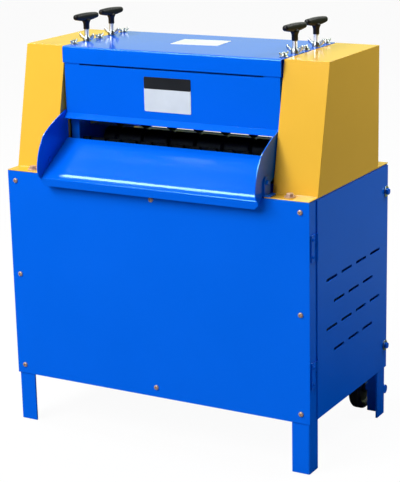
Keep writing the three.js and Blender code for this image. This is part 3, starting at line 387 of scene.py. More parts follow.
def crossSlot(arm, width):
    def reach(angle):
        far, near = sorted((abs(math.cos(angle)), abs(math.sin(angle))), reverse=True)
        return min(arm / far, width / 2 / max(near, 1e-6))
    return reach


def closedMesh(name, bm, smoothAngle):
    bmesh.ops.recalc_face_normals(bm, faces=bm.faces)
    return objectFrom(name, bm, smoothAngle)


def turnTo(place, axis="Z", degrees=0.0):
    facing = Vector({"X": (1, 0, 0), "Y": (0, 1, 0), "Z": (0, 0, 1)}[axis[-1]])
    if axis.startswith("-"):
        facing.negate()
    swing = facing.to_track_quat("Z", "Y").to_matrix().to_4x4()
    return Matrix.Translation(place) @ swing @ Matrix.Rotation(math.radians(degrees), 4, "Z")


# Tee grips: black moulded bars with round ends, a little crowned on top and deeper in the middle,
# on a flared sleeve
grip = {
    "length": 68,
    "width": 13,
    "endHeight": 12,
    "height": 17,
    "crown": 1.5,           # of the bar's top from end to middle
    "turn": -11,            # degrees off the Y axis
    "squareness": 2.6,      # of the bar's section, 2 is an ellipse
    "endTaper": 0.7,        # how slowly the width falls off round an end
    "endAngles": (0, 20, 42, 62, 80),
    "middleSteps": 16,
    "sectionPoints": 28,
    # rings of the sleeve, out from its radius, and up from its foot or from the bar's underside
    "sleeveRadius": 6.3,
    "foot": [(-0.5, 0), (0, 0.6)],
    "neck": [(0, -8), (0.4, -5), (1.2, -2.5)],
    "flareRadius": 9,
    "flare": [(-0.5, -0.6), (0, 0.8), (-0.5, 2.6), (-1.8, 4.6), (-3.6, 5.8)],
    "sink": 6,
}


def gripStations(top):
    corner = grip["endHeight"] / 2
    endCentre = top - grip["crown"] - corner
    straight = grip["length"] / 2 - corner
    halfWidth = grip["width"] / 2
    stations = []
    for step in range(1, grip["middleSteps"]):
        share = 2 * step / grip["middleSteps"] - 1
        halfHeight = corner + (grip["height"] - grip["endHeight"]) * (1 - share * share) / 2
        stations.append((straight * share, top - grip["crown"] * share * share - halfHeight,
                         halfHeight, halfWidth))
    ends = []
    for angle in (math.radians(degrees) for degrees in grip["endAngles"]):
        ends.append((straight + corner * math.sin(angle), endCentre, corner * math.cos(angle),
                     halfWidth * math.cos(angle) ** grip["endTaper"]))
    return [(-along, *rest) for along, *rest in reversed(ends)] + stations + ends, endCentre


def makeGrip(node):
    low, high, middle = boxOf(node)
    top = high.z / mm
    under = top - grip["height"]
    turn = Matrix.Translation((middle.x, middle.y, 0))
    turn @= Matrix.Rotation(math.radians(grip["turn"]), 4, "Z")
    bm = bmesh.new()
    stations, endCentre = gripStations(top)
    power = 2 / grip["squareness"]
    loops = []
    for along, centre, halfHeight, halfWidth in stations:
        loop = []
        for step in range(grip["sectionPoints"]):
            angle = 2 * math.pi * step / grip["sectionPoints"]
            cosine, sine = math.cos(angle), math.sin(angle)
            x = halfWidth * math.copysign(abs(cosine) ** power, cosine)
            z = centre + halfHeight * math.copysign(abs(sine) ** power, sine)
            loop.append(bm.verts.new(turn @ (Vector((x, along, z)) * mm)))
        loops.append(loop)
    tips = [[bm.verts.new(turn @ (Vector((0, side * grip["length"] / 2, endCentre)) * mm))]
            for side in (-1, 1)]
    skinLoops(bm, [tips[0], *loops, tips[1]])
    foot = low.z / mm
    rings = [(0, foot)]
    rings += [(grip["sleeveRadius"] + out, foot + up) for out, up in grip["foot"]]
    rings += [(grip["sleeveRadius"] + out, under + up) for out, up in grip["neck"]]
    rings += [(grip["flareRadius"] + out, under + up) for out, up in grip["flare"]]
    ringed(bm, rings + [(0, under + grip["sink"])], 36, turn)
    return closedMesh(node + "_moulding", bm, 50)


for node in [name for name in nodes if name.startswith("tee_grip_")]:
    finishPiece(makeGrip(node), nodeBody[node], nodeSlot[node], "gripPlastic", node)
print("tee grips made")

# Wing nuts: a turned hub with two rounded wings
wingNut = {
    "bore": 5.2,
    "edge": 0.5,            # chamfer of the bore's ends
    # the turned hub: radius and height
    "hub": [(8.5, 0), (8.5, 1.4), (7.5, 5.5), (6.7, 8.7), (6.1, 9.5)],
    "root": (2.6, 4.2),     # where a wing starts inside the hub
    # distance from the axis, height of the wing's middle, half its height, half its thickness
    "wing": [
        (3.0, 4.2, 3.2, 2.0), (7.0, 5.0, 3.6, 2.0), (10.0, 6.9, 4.3, 1.9), (13.0, 9.2, 4.9, 1.8),
        (15.4, 11.0, 5.2, 1.7), (16.8, 11.9, 4.7, 1.6), (17.6, 12.4, 3.4, 1.3),
    ],
    "tip": (17.95, 12.6),
    "sectionPoints": 16,
}


def wingNutInto(bm, size):
    bore, edge = wingNut["bore"], wingNut["edge"]
    height = wingNut["hub"][-1][1]
    rings = [(bore, 0), *wingNut["hub"], (bore + edge, height), (bore, height - edge)]
    ringed(bm, rings, 36, size, closed=True)
    for side in (-1, 1):
        loops = []
        for along, middle, halfHeight, halfThickness in wingNut["wing"]:
            loop = []
            for step in range(wingNut["sectionPoints"]):
                angle = 2 * math.pi * step / wingNut["sectionPoints"]
                place = Vector((
                    side * along, halfThickness * math.cos(angle), middle + halfHeight * math.sin(angle)))
                loop.append(bm.verts.new(size @ (place * mm)))
            loops.append(loop)
        root, tip = [[bm.verts.new(size @ (Vector((side * along, 0, up)) * mm))]
                     for along, up in (wingNut["root"], wingNut["tip"])]
        skinLoops(bm, [root, *loops, tip])


for node in [name for name in nodes if name.startswith("lock_wing_nut_")]:
    low, _, middle = boxOf(node)
    bm = bmesh.new()
    wingNutInto(bm, Matrix.Translation((middle.x, middle.y, low.z)))
    forged = closedMesh(node + "_forged", bm, 40)
    finishPiece(forged, nodeBody[node], nodeSlot[node], "zincPlate", node)
print("lock nuts made")

# Fasteners: one template for each kind, set on points by Geometry Nodes with a little random turn
fasteners = {
    "panScrew": {"head": 10.5, "height": 3.4, "arm": 2.9, "slot": 1.5, "depth": 2.0},
    "hexBolt": {"flats": 13, "height": 5.6, "washer": 22, "washerHeight": 1.8, "chamferShare": 0.07},
    "capScrew": {"head": 9, "height": 5, "flats": 4.4, "depth": 2.6, "edge": 0.5, "drill": 0.4},
    "smallPan": {"head": 6.6, "height": 2.1, "arm": 1.9, "slot": 0.9, "depth": 1.2},
    "lidNut": {
        "scale": 0.8, "flatness": 0.66, "washer": 17, "washerHeight": 1.4, "stud": 4.6, "studHeight": 9,
        "studEdge": 0.8,
    },
}
# A pan head's foot in millimetres, and its dome in shares of its radius and height
panFoot = {"edge": 0.2, "rise": 0.5, "drill": 0.3}
panDome = [(0.95, 0.6), (0.8, 0.87), (0.62, 0.97)]
washerEdge = 0.3


def panScrew(look, name):
    bm = bmesh.new()
    half, height = look["head"] / 2, look["height"]
    slot, floor = crossSlot(look["arm"], look["slot"]), height - look["depth"]
    rings = [(0, 0), (half - panFoot["edge"], 0), (half, panFoot["rise"])]
    rings += [(half * out, height * up) for out, up in panDome]
    ringed(bm, rings + [(slot, height), (slot, floor), (0, floor - panFoot["drill"])], 48)
    return closedMesh(name, bm, 42)


def hexBolt(look, name):
    bm = bmesh.new()
    flats, base = look["flats"], look["washerHeight"]
    top = base + look["height"]
    washer = look["washer"] / 2
    ringed(bm, [
        (0, 0), (washer - 0.2, 0), (washer, washerEdge), (washer, base - washerEdge),
        (washer - washerEdge, base), (0, base),
    ], 36)
    ringed(bm, [
        (0, base), (flats / 2, base), (hexagon(flats), base + 0.4),
        (hexagon(flats), top - flats * look["chamferShare"]), (flats / 2 - 0.2, top), (0, top),
    ], 24)
    return closedMesh(name, bm, 25)


def capScrew(look, name):
    bm = bmesh.new()
    half, height, edge = look["head"] / 2, look["height"], look["edge"]
    socket, floor = hexagon(look["flats"]), height - look["depth"]
    ringed(bm, [
        (0, 0), (half, 0), (half, height - edge), (half - edge, height), (socket, height),
        (socket, floor), (0, floor - look["drill"]),
    ], 24)
    return closedMesh(name, bm, 30)


def lidNut(look, name):
    bm = bmesh.new()
    washer, base, scale = look["washer"] / 2, look["washerHeight"], look["scale"]
    ringed(bm, [
        (0, 0), (washer, 0), (washer, base - washerEdge), (washer - washerEdge, base), (0, base),
    ], 32)
    stud, tip, edge = look["stud"] * scale, look["studHeight"], look["studEdge"]
    ringed(bm, [(0, base), (stud, base), (stud, tip - edge), (stud - edge, tip), (0, tip)], 20)
    low = Matrix.Diagonal((scale, scale, scale * look["flatness"], 1))
    wingNutInto(bm, Matrix.Translation((0, 0, base * mm)) @ low)
    return closedMesh(name, bm, 40)


# A node group that takes some geometry and its inputs, and gives a shape set on that geometry
def newGroup(name, taken, inputs, given):
    tree = bpy.data.node_groups.new(name, "GeometryNodeTree")
    face = tree.interface
    face.new_socket(taken, in_out="INPUT", socket_type="NodeSocketGeometry")
    sockets = {}
    for label, kind in inputs.items():
        socket = face.new_socket(label, in_out="INPUT", socket_type="NodeSocket" + kind)
        sockets[label] = socket.identifier
    face.new_socket(given, in_out="OUTPUT", socket_type="NodeSocketGeometry")
    return tree, sockets


def giveCoated(tree, scatter, entry, leave, given):
    make, link = tree.nodes.new, tree.links.new
    real, coated = make("GeometryNodeRealizeInstances"), make("GeometryNodeSetMaterial")
    link(scatter.outputs["Instances"], real.inputs["Geometry"])
    link(real.outputs["Geometry"], coated.inputs["Geometry"])
    link(entry.outputs["Finish"], coated.inputs["Material"])
    link(coated.outputs["Geometry"], leave.inputs[given])


def fastenerTree():
    inputs = {"Fastener": "Object", "Facing": "Vector", "Turn": "Float", "Spread": "Float", "Seed": "Int",
              "Finish": "Material"}
    tree, sockets = newGroup("fastenerField", "Points", inputs, "Fasteners")
    make, link = tree.nodes.new, tree.links.new
    entry, leave = make("NodeGroupInput"), make("NodeGroupOutput")
    template = make("GeometryNodeObjectInfo")
    link(entry.outputs["Fastener"], template.inputs["Object"])
    facing = make("FunctionNodeAlignRotationToVector")
    facing.axis = "Z"
    link(entry.outputs["Facing"], facing.inputs["Vector"])
    limits = {}
    for word in ("SUBTRACT", "ADD"):
        limits[word] = make("ShaderNodeMath")
        limits[word].operation = word
        link(entry.outputs["Turn"], limits[word].inputs[0])
        link(entry.outputs["Spread"], limits[word].inputs[1])
    chance = make("FunctionNodeRandomValue")
    chance.data_type = "FLOAT"
    link(limits["SUBTRACT"].outputs[0], chance.inputs[2])
    link(limits["ADD"].outputs[0], chance.inputs[3])
    link(entry.outputs["Seed"], chance.inputs["Seed"])
    spin = make("FunctionNodeAxisAngleToRotation")
    spin.inputs["Axis"].default_value = (0, 0, 1)
    link(chance.outputs[1], spin.inputs["Angle"])
    turned = make("FunctionNodeRotateRotation")
    turned.rotation_space = "LOCAL"
    link(facing.outputs["Rotation"], turned.inputs["Rotation"])
    link(spin.outputs["Rotation"], turned.inputs["Rotate By"])
    scatter = make("GeometryNodeInstanceOnPoints")
    link(entry.outputs["Points"], scatter.inputs["Points"])
    link(template.outputs["Geometry"], scatter.inputs["Instance"])
    link(turned.outputs["Rotation"], scatter.inputs["Rotation"])
    giveCoated(tree, scatter, entry, leave, "Fasteners")
    return tree, sockets


fieldTree, fieldSockets = fastenerTree()
makers = {
    "panScrew": panScrew, "smallPan": panScrew, "hexBolt": hexBolt, "capScrew": capScrew, "lidNut": lidNut,
}
templates = {kind: make(fasteners[kind], kind) for kind, make in makers.items()}


# Turns what Geometry Nodes make on an object into its own plain mesh
def settle(obj):
    graph = bpy.context.evaluated_depsgraph_get()
    mesh = bpy.data.meshes.new_from_object(obj.evaluated_get(graph))
    obj.modifiers.clear()
    obj.data = mesh
    return obj


def fastenerField(name, kind, places, facing, body, slotName, finish, turn=0.0, spread=180.0, seed=1):
    points = bpy.data.meshes.new(name)
    points.from_pydata([tuple(place) for place in places], [], [])
    obj = bpy.data.objects.new(name, points)
    bpy.context.scene.collection.objects.link(obj)
    field = obj.modifiers.new("field", "NODES")
    field.node_group = fieldTree
    inputs = {"Fastener": templates[kind], "Facing": facing, "Turn": math.radians(turn),
              "Spread": math.radians(spread), "Seed": seed, "Finish": finishes[finish]}
    for label, value in inputs.items():
        field[fieldSockets[label]] = value
    settle(obj)
    return finishPiece(obj, body, slotName, None)


front, back, right, left, above = (0, -1, 0), (0, 1, 0), (1, 0, 0), (-1, 0, 0), (0, 0, 1)
screwSlot = nodeSlot["press_screw_front_left"]
panelHalf = (panelHigh.x - panelLow.x) / 2 / mm
rearFace = (boxOf("rear_panel")[1].y - panelLow.y) / mm

# Screws of the three panels: how far in from the edges they sit
screwInset = {"side": 19, "foot": 19.5, "top": 20, "middleFoot": 21, "middleTop": 28}
leftColumns = (20, 188, 355)
panelFoot, panelTop = panelLow.z / mm, panelHigh.z / mm
lowRow, highRow = panelFoot + screwInset["foot"], panelTop - screwInset["top"]
middleRow = (panelFoot + panelTop) / 2
column = panelHalf - screwInset["side"]
frontScrews = [(x, z) for x in (-column, column) for z in (highRow, middleRow, lowRow)]
frontScrews += [(0, panelTop - screwInset["middleTop"]), (0, panelFoot + screwInset["middleFoot"])]
fastenerField("front_panel_screws", "panScrew", [at(x, 0, z) for x, z in frontScrews], front,
              nodeBody["front_panel"], screwSlot, "warmScrew", seed=4)

# Bolts through the covers' flanges
flangeBolts = {"seatBelowBracket": 0.3, "x": 295, "rows": (20, 350)}
flangeTop = boxOf("tray_bracket_right")[0].z / mm - flangeBolts["seatBelowBracket"]
flangePlaces = [at(x, y, flangeTop) for x in (-flangeBolts["x"], flangeBolts["x"])
                for y in flangeBolts["rows"]]
fastenerField("cover_flange_bolts", "hexBolt", flangePlaces, above, nodeBody["cover_right"], screwSlot,
              "warmScrew", seed=2)

# Wing nuts on the lid's studs, in line with the press screws
lidStuds = {"x": 240, "rows": (109, 205, 301)}
lidTop = boxOf("lid")[1].z / mm
studPlaces = [at(x, y, lidTop) for x in (-lidStuds["x"], lidStuds["x"]) for y in lidStuds["rows"]]
fastenerField("lid_wing_nuts", "lidNut", studPlaces, above, nodeBody["lid"],
              nodeSlot["lock_wing_nut_front_left"], "zincPlate", turn=90, spread=14, seed=7)


# Two rows of three, and one between them at each end
def rimScrews(columns):
    rim = [(across, z) for across in columns for z in (lowRow, highRow)]
    return rim + [(columns[0], middleRow), (columns[-1], middleRow)]


rearPlaces = [at(x, rearFace, z) for x, z in rimScrews((-column, 0, column))]
leftPlaces = [at(-panelHalf, y, z) for y, z in rimScrews(leftColumns)]
for node, places, facing in (("rear_panel", rearPlaces, back), ("left_panel", leftPlaces, left)):
    fastenerField(node + "_screws", "panScrew", places, facing, nodeBody[node], screwSlot,
                  "warmScrew", seed=5)

# Screws of the hinge leaves on the leg, in from the leaf's corner
hingeScrews = {"across": 7, "rises": (10, 44)}
hingePlaces = []
for node in ("door_hinge_lower", "door_hinge_upper"):
    corner = boxOf(node)[0]
    hingePlaces += [Vector((at(panelHalf, 0, 0).x, corner.y + hingeScrews["across"] * mm,
                            corner.z + rise * mm)) for rise in hingeScrews["rises"]]
fastenerField("hinge_screws", "smallPan", hingePlaces, right, nodeBody["door_hinge_lower"],
              nodeSlot["side_door"], "bluePaint", seed=3)

# The switch box's cover plate and its screws
switchCover = {"size": (66, 104), "corner": 5, "thick": 1.5, "screwInset": 10}
boxLow, boxHigh, boxMiddle = boxOf("switch_box")
inset = switchCover["screwInset"] * mm
switchPlaces = [Vector((boxLow.x - switchCover["thick"] * mm, y, z))
                for y in (boxLow.y + inset, boxHigh.y - inset)
                for z in (boxLow.z + inset, boxHigh.z - inset)]
fastenerField("switch_box_screws", "smallPan", switchPlaces, left, nodeBody["switch_box"], screwSlot,
              "zincPlate", seed=6)

# Cap screws round the gearbox's side cover and on its feet
driveShaft, feedShaft = (118, 205), (205, 587)
gearboxScrews = {"face": 267, "radius": 44, "count": 6, "footX": (190, 274), "footY": (82, 154), "foot": 10}
coverAngles = [2 * math.pi * (step + 0.5) / gearboxScrews["count"]
               for step in range(gearboxScrews["count"])]
coverPlaces = [at(gearboxScrews["face"], driveShaft[0] + gearboxScrews["radius"] * math.cos(angle),
                  driveShaft[1] + gearboxScrews["radius"] * math.sin(angle)) for angle in coverAngles]
fastenerField("gearbox_cover_screws", "capScrew", coverPlaces, right, nodeBody["gearbox"], screwSlot,
              "oiledSteel", seed=8)
footTop = boxOf("gearbox")[0].z / mm + gearboxScrews["foot"]
footPlaces = [at(x, y, footTop) for x in gearboxScrews["footX"] for y in gearboxScrews["footY"]]
fastenerField("gearbox_foot_screws", "capScrew", footPlaces, above, nodeBody["gearbox"], screwSlot,
              "oiledSteel", seed=9)
for template in templates.values():
    bpy.data.objects.remove(template)
print("fasteners set")

# Drive chain: links set along the loop round the two sprockets by Geometry Nodes
chain = {
    "pitch": 12.7,
    "low": (*driveShaft, 36.2),     # sprocket centre and the radius of the chain's middle line
    "high": (*feedShaft, 48.2),
    "arcSteps": 40,
    "plateHeight": 6.4,
    "plateGauge": 1.2,
    "rollerRadius": 3.1,
    "outerHalf": 4.9,               # half the width over the outer plates
    "innerShare": 0.74,             # width of the inner links against the outer ones
    "waistShare": 0.72,             # height of a plate's waist against its ends
    "endSteps": 5,
}


def chainPoints():
    lowY, lowZ, lowRadius = chain["low"]
    highY, highZ, highRadius = chain["high"]
    run = math.hypot(highY - lowY, highZ - lowZ)
    lean = math.acos((lowRadius - highRadius) / run)
    heading = math.atan2(highZ - lowZ, highY - lowY)
    points = []
    for centreY, centreZ, radius, start, stop in (
            (lowY, lowZ, lowRadius, heading + lean, heading + 2 * math.pi - lean),
            (highY, highZ, highRadius, heading - lean, heading + lean)):
        for step in range(chain["arcSteps"] + 1):
            angle = start + (stop - start) * step / chain["arcSteps"]
            points.append((centreY + radius * math.cos(angle), centreZ + radius * math.sin(angle)))
    return points


def chainLink():
    bm = bmesh.new()
    pitch, half, gauge = chain["pitch"], chain["plateHeight"] / 2, chain["plateGauge"]
    waist = half * chain["waistShare"]
    turns = [math.pi * step / chain["endSteps"] for step in range(chain["endSteps"] + 1)]
    rim = [(-half * math.sin(turn), half * math.cos(turn)) for turn in turns] + [(pitch / 2, -waist)]
    rim += [(pitch + half * math.sin(turn), -half * math.cos(turn)) for turn in turns]
    rim.append((pitch / 2, waist))
    for side in (-1, 1):
        levels = sorted((side * chain["outerHalf"], side * (chain["outerHalf"] - gauge)))
        loops = [[bm.verts.new(Vector((x, y, z)) * mm) for x, y in rim] for z in levels]
        skinLoops(bm, loops)
        bm.faces.new(loops[0])
        bm.faces.new(list(reversed(loops[1])))
    reach, roller = chain["outerHalf"] - gauge, chain["rollerRadius"]
    ringed(bm, [(0, -reach), (roller, -reach), (roller, reach), (0, reach)], 12)
    return closedMesh("chainLink", bm, 30)


def chainTree():
    inputs = {"Link": "Object", "Link Count": "Int", "Inner Width": "Float", "Finish": "Material"}
    tree, sockets = newGroup("chainLoop", "Loop", inputs, "Chain")
    make, link = tree.nodes.new, tree.links.new
    entry, leave = make("NodeGroupInput"), make("NodeGroupOutput")
    path, resample = make("GeometryNodeMeshToCurve"), make("GeometryNodeResampleCurve")
    resample.mode = "COUNT"
    link(entry.outputs["Loop"], path.inputs["Mesh"])
    link(path.outputs["Curve"], resample.inputs["Curve"])
    link(entry.outputs["Link Count"], resample.inputs["Count"])
    tangent, swing = make("GeometryNodeInputTangent"), make("FunctionNodeAxesToRotation")
    swing.primary_axis, swing.secondary_axis = "X", "Z"
    link(tangent.outputs["Tangent"], swing.inputs["Primary Axis"])
    swing.inputs["Secondary Axis"].default_value = (1, 0, 0)
    index, parity = make("GeometryNodeInputIndex"), make("ShaderNodeMath")
    width = make("ShaderNodeMapRange")
    parity.operation = "MODULO"
    parity.inputs[1].default_value = 2
    link(index.outputs["Index"], parity.inputs[0])
    link(parity.outputs[0], width.inputs["Value"])
    width.inputs["To Min"].default_value = 1
    link(entry.outputs["Inner Width"], width.inputs["To Max"])
    size = make("ShaderNodeCombineXYZ")
    size.inputs["X"].default_value = size.inputs["Y"].default_value = 1
    link(width.outputs["Result"], size.inputs["Z"])
    shape, scatter = make("GeometryNodeObjectInfo"), make("GeometryNodeInstanceOnPoints")
    link(entry.outputs["Link"], shape.inputs["Object"])
    link(resample.outputs["Curve"], scatter.inputs["Points"])
    link(shape.outputs["Geometry"], scatter.inputs["Instance"])
    link(swing.outputs["Rotation"], scatter.inputs["Rotation"])
    link(size.outputs["Vector"], scatter.inputs["Scale"])
    giveCoated(tree, scatter, entry, leave, "Chain")
    return tree, sockets


def makeChain():
    middleX = boxOf("drive_chain")[2].x
    points = chainPoints()
    length = sum(math.dist(a, b) for a, b in zip(points, points[1:] + points[:1]))
    places = [Vector((middleX, at(0, y, 0).y, z * mm)) for y, z in points]
    loop = bpy.data.meshes.new("drive_chain_links")
    loop.from_pydata([tuple(place) for place in places],
                     [(step, (step + 1) % len(places)) for step in range(len(places))], [])
    obj = bpy.data.objects.new("drive_chain_links", loop)
    bpy.context.scene.collection.objects.link(obj)
    template = chainLink()
    tree, sockets = chainTree()
    links = obj.modifiers.new("links", "NODES")
    links.node_group = tree
    inputs = {"Link": template, "Link Count": round(length / chain["pitch"] / 2) * 2,
              "Inner Width": chain["innerShare"], "Finish": finishes["oiledSteel"]}
    for label, value in inputs.items():
        links[sockets[label]] = value
    settle(obj)
    bpy.data.objects.remove(template)
    finishPiece(obj, nodeBody["drive_chain"], nodeSlot["drive_chain"], None, "drive_chain")


makeChain()
print("chain made")

# Door screws: blue hex heads on plain washers
doorScrew = {
    "flats": 12,
    "chamfer": 0.9,
    "edge": 0.3,
    "washer": 11.5,
    "washerBore": 3.2,
    "washerHeight": 1.2,
    "washerGap": 0.1,
    "shank": 3,
    "standOut": 7,          # head and washer together
}


def makeDoorScrew(node):
    low, high, middle = boxOf(node)
    turn = turnTo(Vector((low.x, middle.y, middle.z)), "X")
    reach = (high.x - low.x) / mm
    face = reach - doorScrew["standOut"]
    flats, shank, edge = doorScrew["flats"], doorScrew["shank"], doorScrew["edge"]
    seat = face + doorScrew["washerHeight"]
    bm = bmesh.new()
    ringed(bm, [
        (0, 0), (shank - 0.5, 0), (shank, 0.6), (shank, face + 1), (flats / 2, seat),
        (hexagon(flats), seat + 0.4), (hexagon(flats), reach - doorScrew["chamfer"]),
        (flats / 2 - 0.2, reach), (0, reach),
    ], 24, turn)
    head = closedMesh(node + "_head", bm, 25)
    finishPiece(head, nodeBody[node], nodeSlot["side_door"], "bluePaint", node)
    washer, bore, back = doorScrew["washer"], doorScrew["washerBore"], face + doorScrew["washerGap"]
    bm = bmesh.new()
    ringed(bm, [
        (bore, back), (washer - edge, back), (washer, back + edge), (washer, seat - edge),
        (washer - edge, seat), (bore, seat),
    ], 40, turn, closed=True)
    ring = closedMesh(node + "_washer", bm, 40)
    finishPiece(ring, nodeBody[node], nodeSlot[node], "zincPlate")


for node in ("door_screw_lower", "door_screw_upper"):
    makeDoorScrew(node)

# Wheels: solid rubber tyres with grooves in the tread, on dished plastic hubs; radius and height
wheel = {
    "tyre": [
        (37, 1.5), (38, 0.8), (44, 0.5), (47, 1.5), (48.5, 3.6), (49, 6.4), (49, 7.6), (47.8, 8.0),
        (47.8, 9.4), (49, 9.8), (49, 14.2), (47.8, 14.6), (47.8, 16.0), (49, 16.4), (49, 17.6),
        (48.5, 20.4), (47, 22.5), (44, 23.5), (38, 23.2), (37, 22.5),
    ],
    "hub": [
        (6.4, 0), (13.6, 0), (14, 0.5), (14, 4.4), (15.2, 5.8), (32.5, 5.8), (35, 3.4), (35.8, 2.2),
        (37.1, 2.0), (37.1, 22.0), (35.8, 21.8), (35, 20.6), (32.5, 18.2), (15.2, 18.2), (14, 19.6),
        (14, 23.5), (13.6, 24), (6.4, 24),
    ],
}


def makeWheel(node):
    low, _, middle = boxOf(node)
    turn = turnTo(Vector((low.x, middle.y, middle.z)), "X")
    for part, finish, steps in (("tyre", "wheelRubber", 72), ("hub", "wheelHubPlastic", 56)):
        bm = bmesh.new()
        ringed(bm, wheel[part], steps, turn, closed=True)
        obj = closedMesh(node + "_" + part, bm, 30)
        finishPiece(obj, nodeBody[node], nodeSlot[node], finish, *([node] if part == "tyre" else []))


for node in ("wheel_right", "wheel_left"):
    makeWheel(node)

# Push buttons with a shallow crown, and a plain collar round each on the box
pushButton = {
    "radius": 13, "crown": 1.6, "guideGap": 0.1, "collar": 17.5, "collarHeight": 3, "collarEdge": 1.2,
}


def makeButton(node, finish):
    low, high, middle = boxOf(node)
    length = (high.x - low.x) / mm
    turn = turnTo(Vector((high.x, middle.y, middle.z)), "-X")
    radius, crown = pushButton["radius"], pushButton["crown"]
    guided, rim = radius - pushButton["guideGap"], length - crown
    bm = bmesh.new()
    ringed(bm, [
        (0, 0), (radius - 1.4, 0), (guided, 1.3), (guided, rim - 1.2), (radius - 0.5, rim - 0.3),
        (radius - 1.5, rim + 0.3), (radius * 0.6, length - crown * 0.3),
        (radius * 0.3, length - crown * 0.07), (0, length),
    ], 40, turn)
    finishPiece(closedMesh(node + "_cap", bm, 50), nodeBody[node], nodeSlot[node], finish, node)
    collar, height, edge = pushButton["collar"], pushButton["collarHeight"], pushButton["collarEdge"]
    turn = turnTo(Vector((boxLow.x, middle.y, middle.z)), "-X")
    bm = bmesh.new()
    ringed(bm, [
        (radius + 0.5, 0), (collar, 0), (collar, height - edge), (collar - edge, height),
        (radius + edge, height), (radius + 0.5, height - 0.6),
    ], 44, turn, closed=True)
    ring = closedMesh(node + "_collar", bm, 40)
    finishPiece(ring, nodeBody["switch_box"], nodeSlot["cable_gland"], "glandPlastic")


makeButton("start_button", "greenPlastic")
makeButton("stop_button", "redPlastic")
print("screws, wheels and buttons made")

# Bare plates: a white one with a dark head on the guard, and a pale grey one on the lid
plates = {
    "guard": {"left": -57, "right": 50, "bottom": 678, "top": 747.5, "corner": 2.5, "thick": 0.8},
    "band": {"height": 24, "wider": 0.4, "thicker": 0.15},
    "lid": {"middle": (-5, 222), "size": (106, 72), "skew": 5, "corner": 3, "thick": 0.5},
    "lipReach": 10,                                 # of the guard's lip in front of its face
    "profile": ((0, 0), (0, 0.7), (0.2, 1)),        # inset and height, in shares of the thickness
    "cornerSteps": 4,
}


def makePlate(name, size, corner, thick, turn, node, finish):
    width, height = size[0] / 2 * mm, size[1] / 2 * mm
    radius = corner * mm
    bm = bmesh.new()
    loops = []
    for inset, level in plates["profile"]:
        loop = []
        for quarter, (sideX, sideY) in enumerate(((1, 1), (-1, 1), (-1, -1), (1, -1))):
            for step in range(plates["cornerSteps"] + 1):
                angle = math.pi / 2 * (quarter + step / plates["cornerSteps"])
                reach = radius - inset * thick * mm
                loop.append(bm.verts.new(turn @ Vector((
                    sideX * (width - radius) + reach * math.cos(angle),
                    sideY * (height - radius) + reach * math.sin(angle), level * thick * mm))))
        loops.append(loop)
    skinLoops(bm, loops)
    bm.faces.new(list(reversed(loops[0])))
    bm.faces.new(loops[-1])
    plate = closedMesh(name, bm, 30)
    return finishPiece(plate, nodeBody[node], nodeSlot[node], finish)


def makePlates():
    look, band = plates["guard"], plates["band"]
    middleX = (look["left"] + look["right"]) / 2
    width = look["right"] - look["left"]
    guardFace = boxOf("front_guard")[0].y + plates["lipReach"] * mm
    spot = at(middleX, 0, (look["bottom"] + look["top"]) / 2)
    makePlate("guard_plate", (width, look["top"] - look["bottom"]), look["corner"], look["thick"],
              turnTo(Vector((spot.x, guardFace, spot.z)), "-Y"), "front_guard", "plateWhite")
    spot = at(middleX, 0, look["top"] - band["height"] / 2)
    makePlate("guard_plate_head", (width + band["wider"], band["height"]), look["corner"],
              look["thick"] + band["thicker"], turnTo(Vector((spot.x, guardFace, spot.z)), "-Y"),
              "front_guard", "plateBand")
    look = plates["lid"]
    makePlate("lid_plate", look["size"], look["corner"], look["thick"],
              turnTo(at(*look["middle"], lidTop), "Z", look["skew"]), "lid", "plateGrey")


makePlates()
makePlate("switch_box_cover", switchCover["size"], switchCover["corner"], switchCover["thick"],
          turnTo(Vector((boxLow.x, boxMiddle.y, boxMiddle.z)), "-X"), "switch_box", "boxPlastic")
print("plates made")

# Stage: pale floor, soft lamps, and surroundings that are white in the picture
stage = {
    "floorSize": 14,
    "floorDrop": 0.0005,
    "floorColor": (0.42, 0.42, 0.42, 1),
    "floorRough": 0.85,
    "floorLevel": 0.1,
    "floorShare": 0.9,      # how far the seen floor glows, so it stays pale in the shade
    "lamps": {
        "key": {"place": (-1.7, -2.4, 3.7), "size": (1.4, 1.4), "power": 86},
        "front": {"place": (-0.9, -3.7, 3.1), "size": (2.2, 2.0), "power": 146},
        "overhead": {"place": (-1.48, -0.125, 3.12), "size": (0.42, 1.4), "power": 36},
        "rear": {"place": (-0.7, 3.2, 3.2), "size": (1.8, 1.8), "power": 34},
        "fill": {"place": (1.2, 0.95, 2.0), "size": (0.8, 0.8), "power": 24},
    },
    "ambient": 0.1,
    "seen": 1.06,
    "aim": (0, 0, 0.45),
    # what the paint mirrors: nothing in front, pale walls behind, up to a height, and the floor behind
    "reflectedColor": (0.78, 1.0, 0.48, 1),
    "reflectedFront": 0.0,
    "reflectedBack": 0.72,
    "backRamp": (0.1, 0.7),
    "reflectedAbove": 0.1,
    "heightRamp": (0.3, 0.6),
    "reflectedFloor": 0.2,
    "floorRamp": (0.2, 1.2),
}


def makeLamp(name, look):
    data = bpy.data.lights.new(name, "AREA")
    data.shape = "RECTANGLE"
    data.size, data.size_y = look["size"]
    data.energy = look["power"]
    lamp = bpy.data.objects.new(name, data)
    bpy.context.scene.collection.objects.link(lamp)
    aim = (Vector(stage["aim"]) - Vector(look["place"])).to_track_quat("-Z", "Y")
    lamp.matrix_world = Matrix.Translation(look["place"]) @ aim.to_matrix().to_4x4()


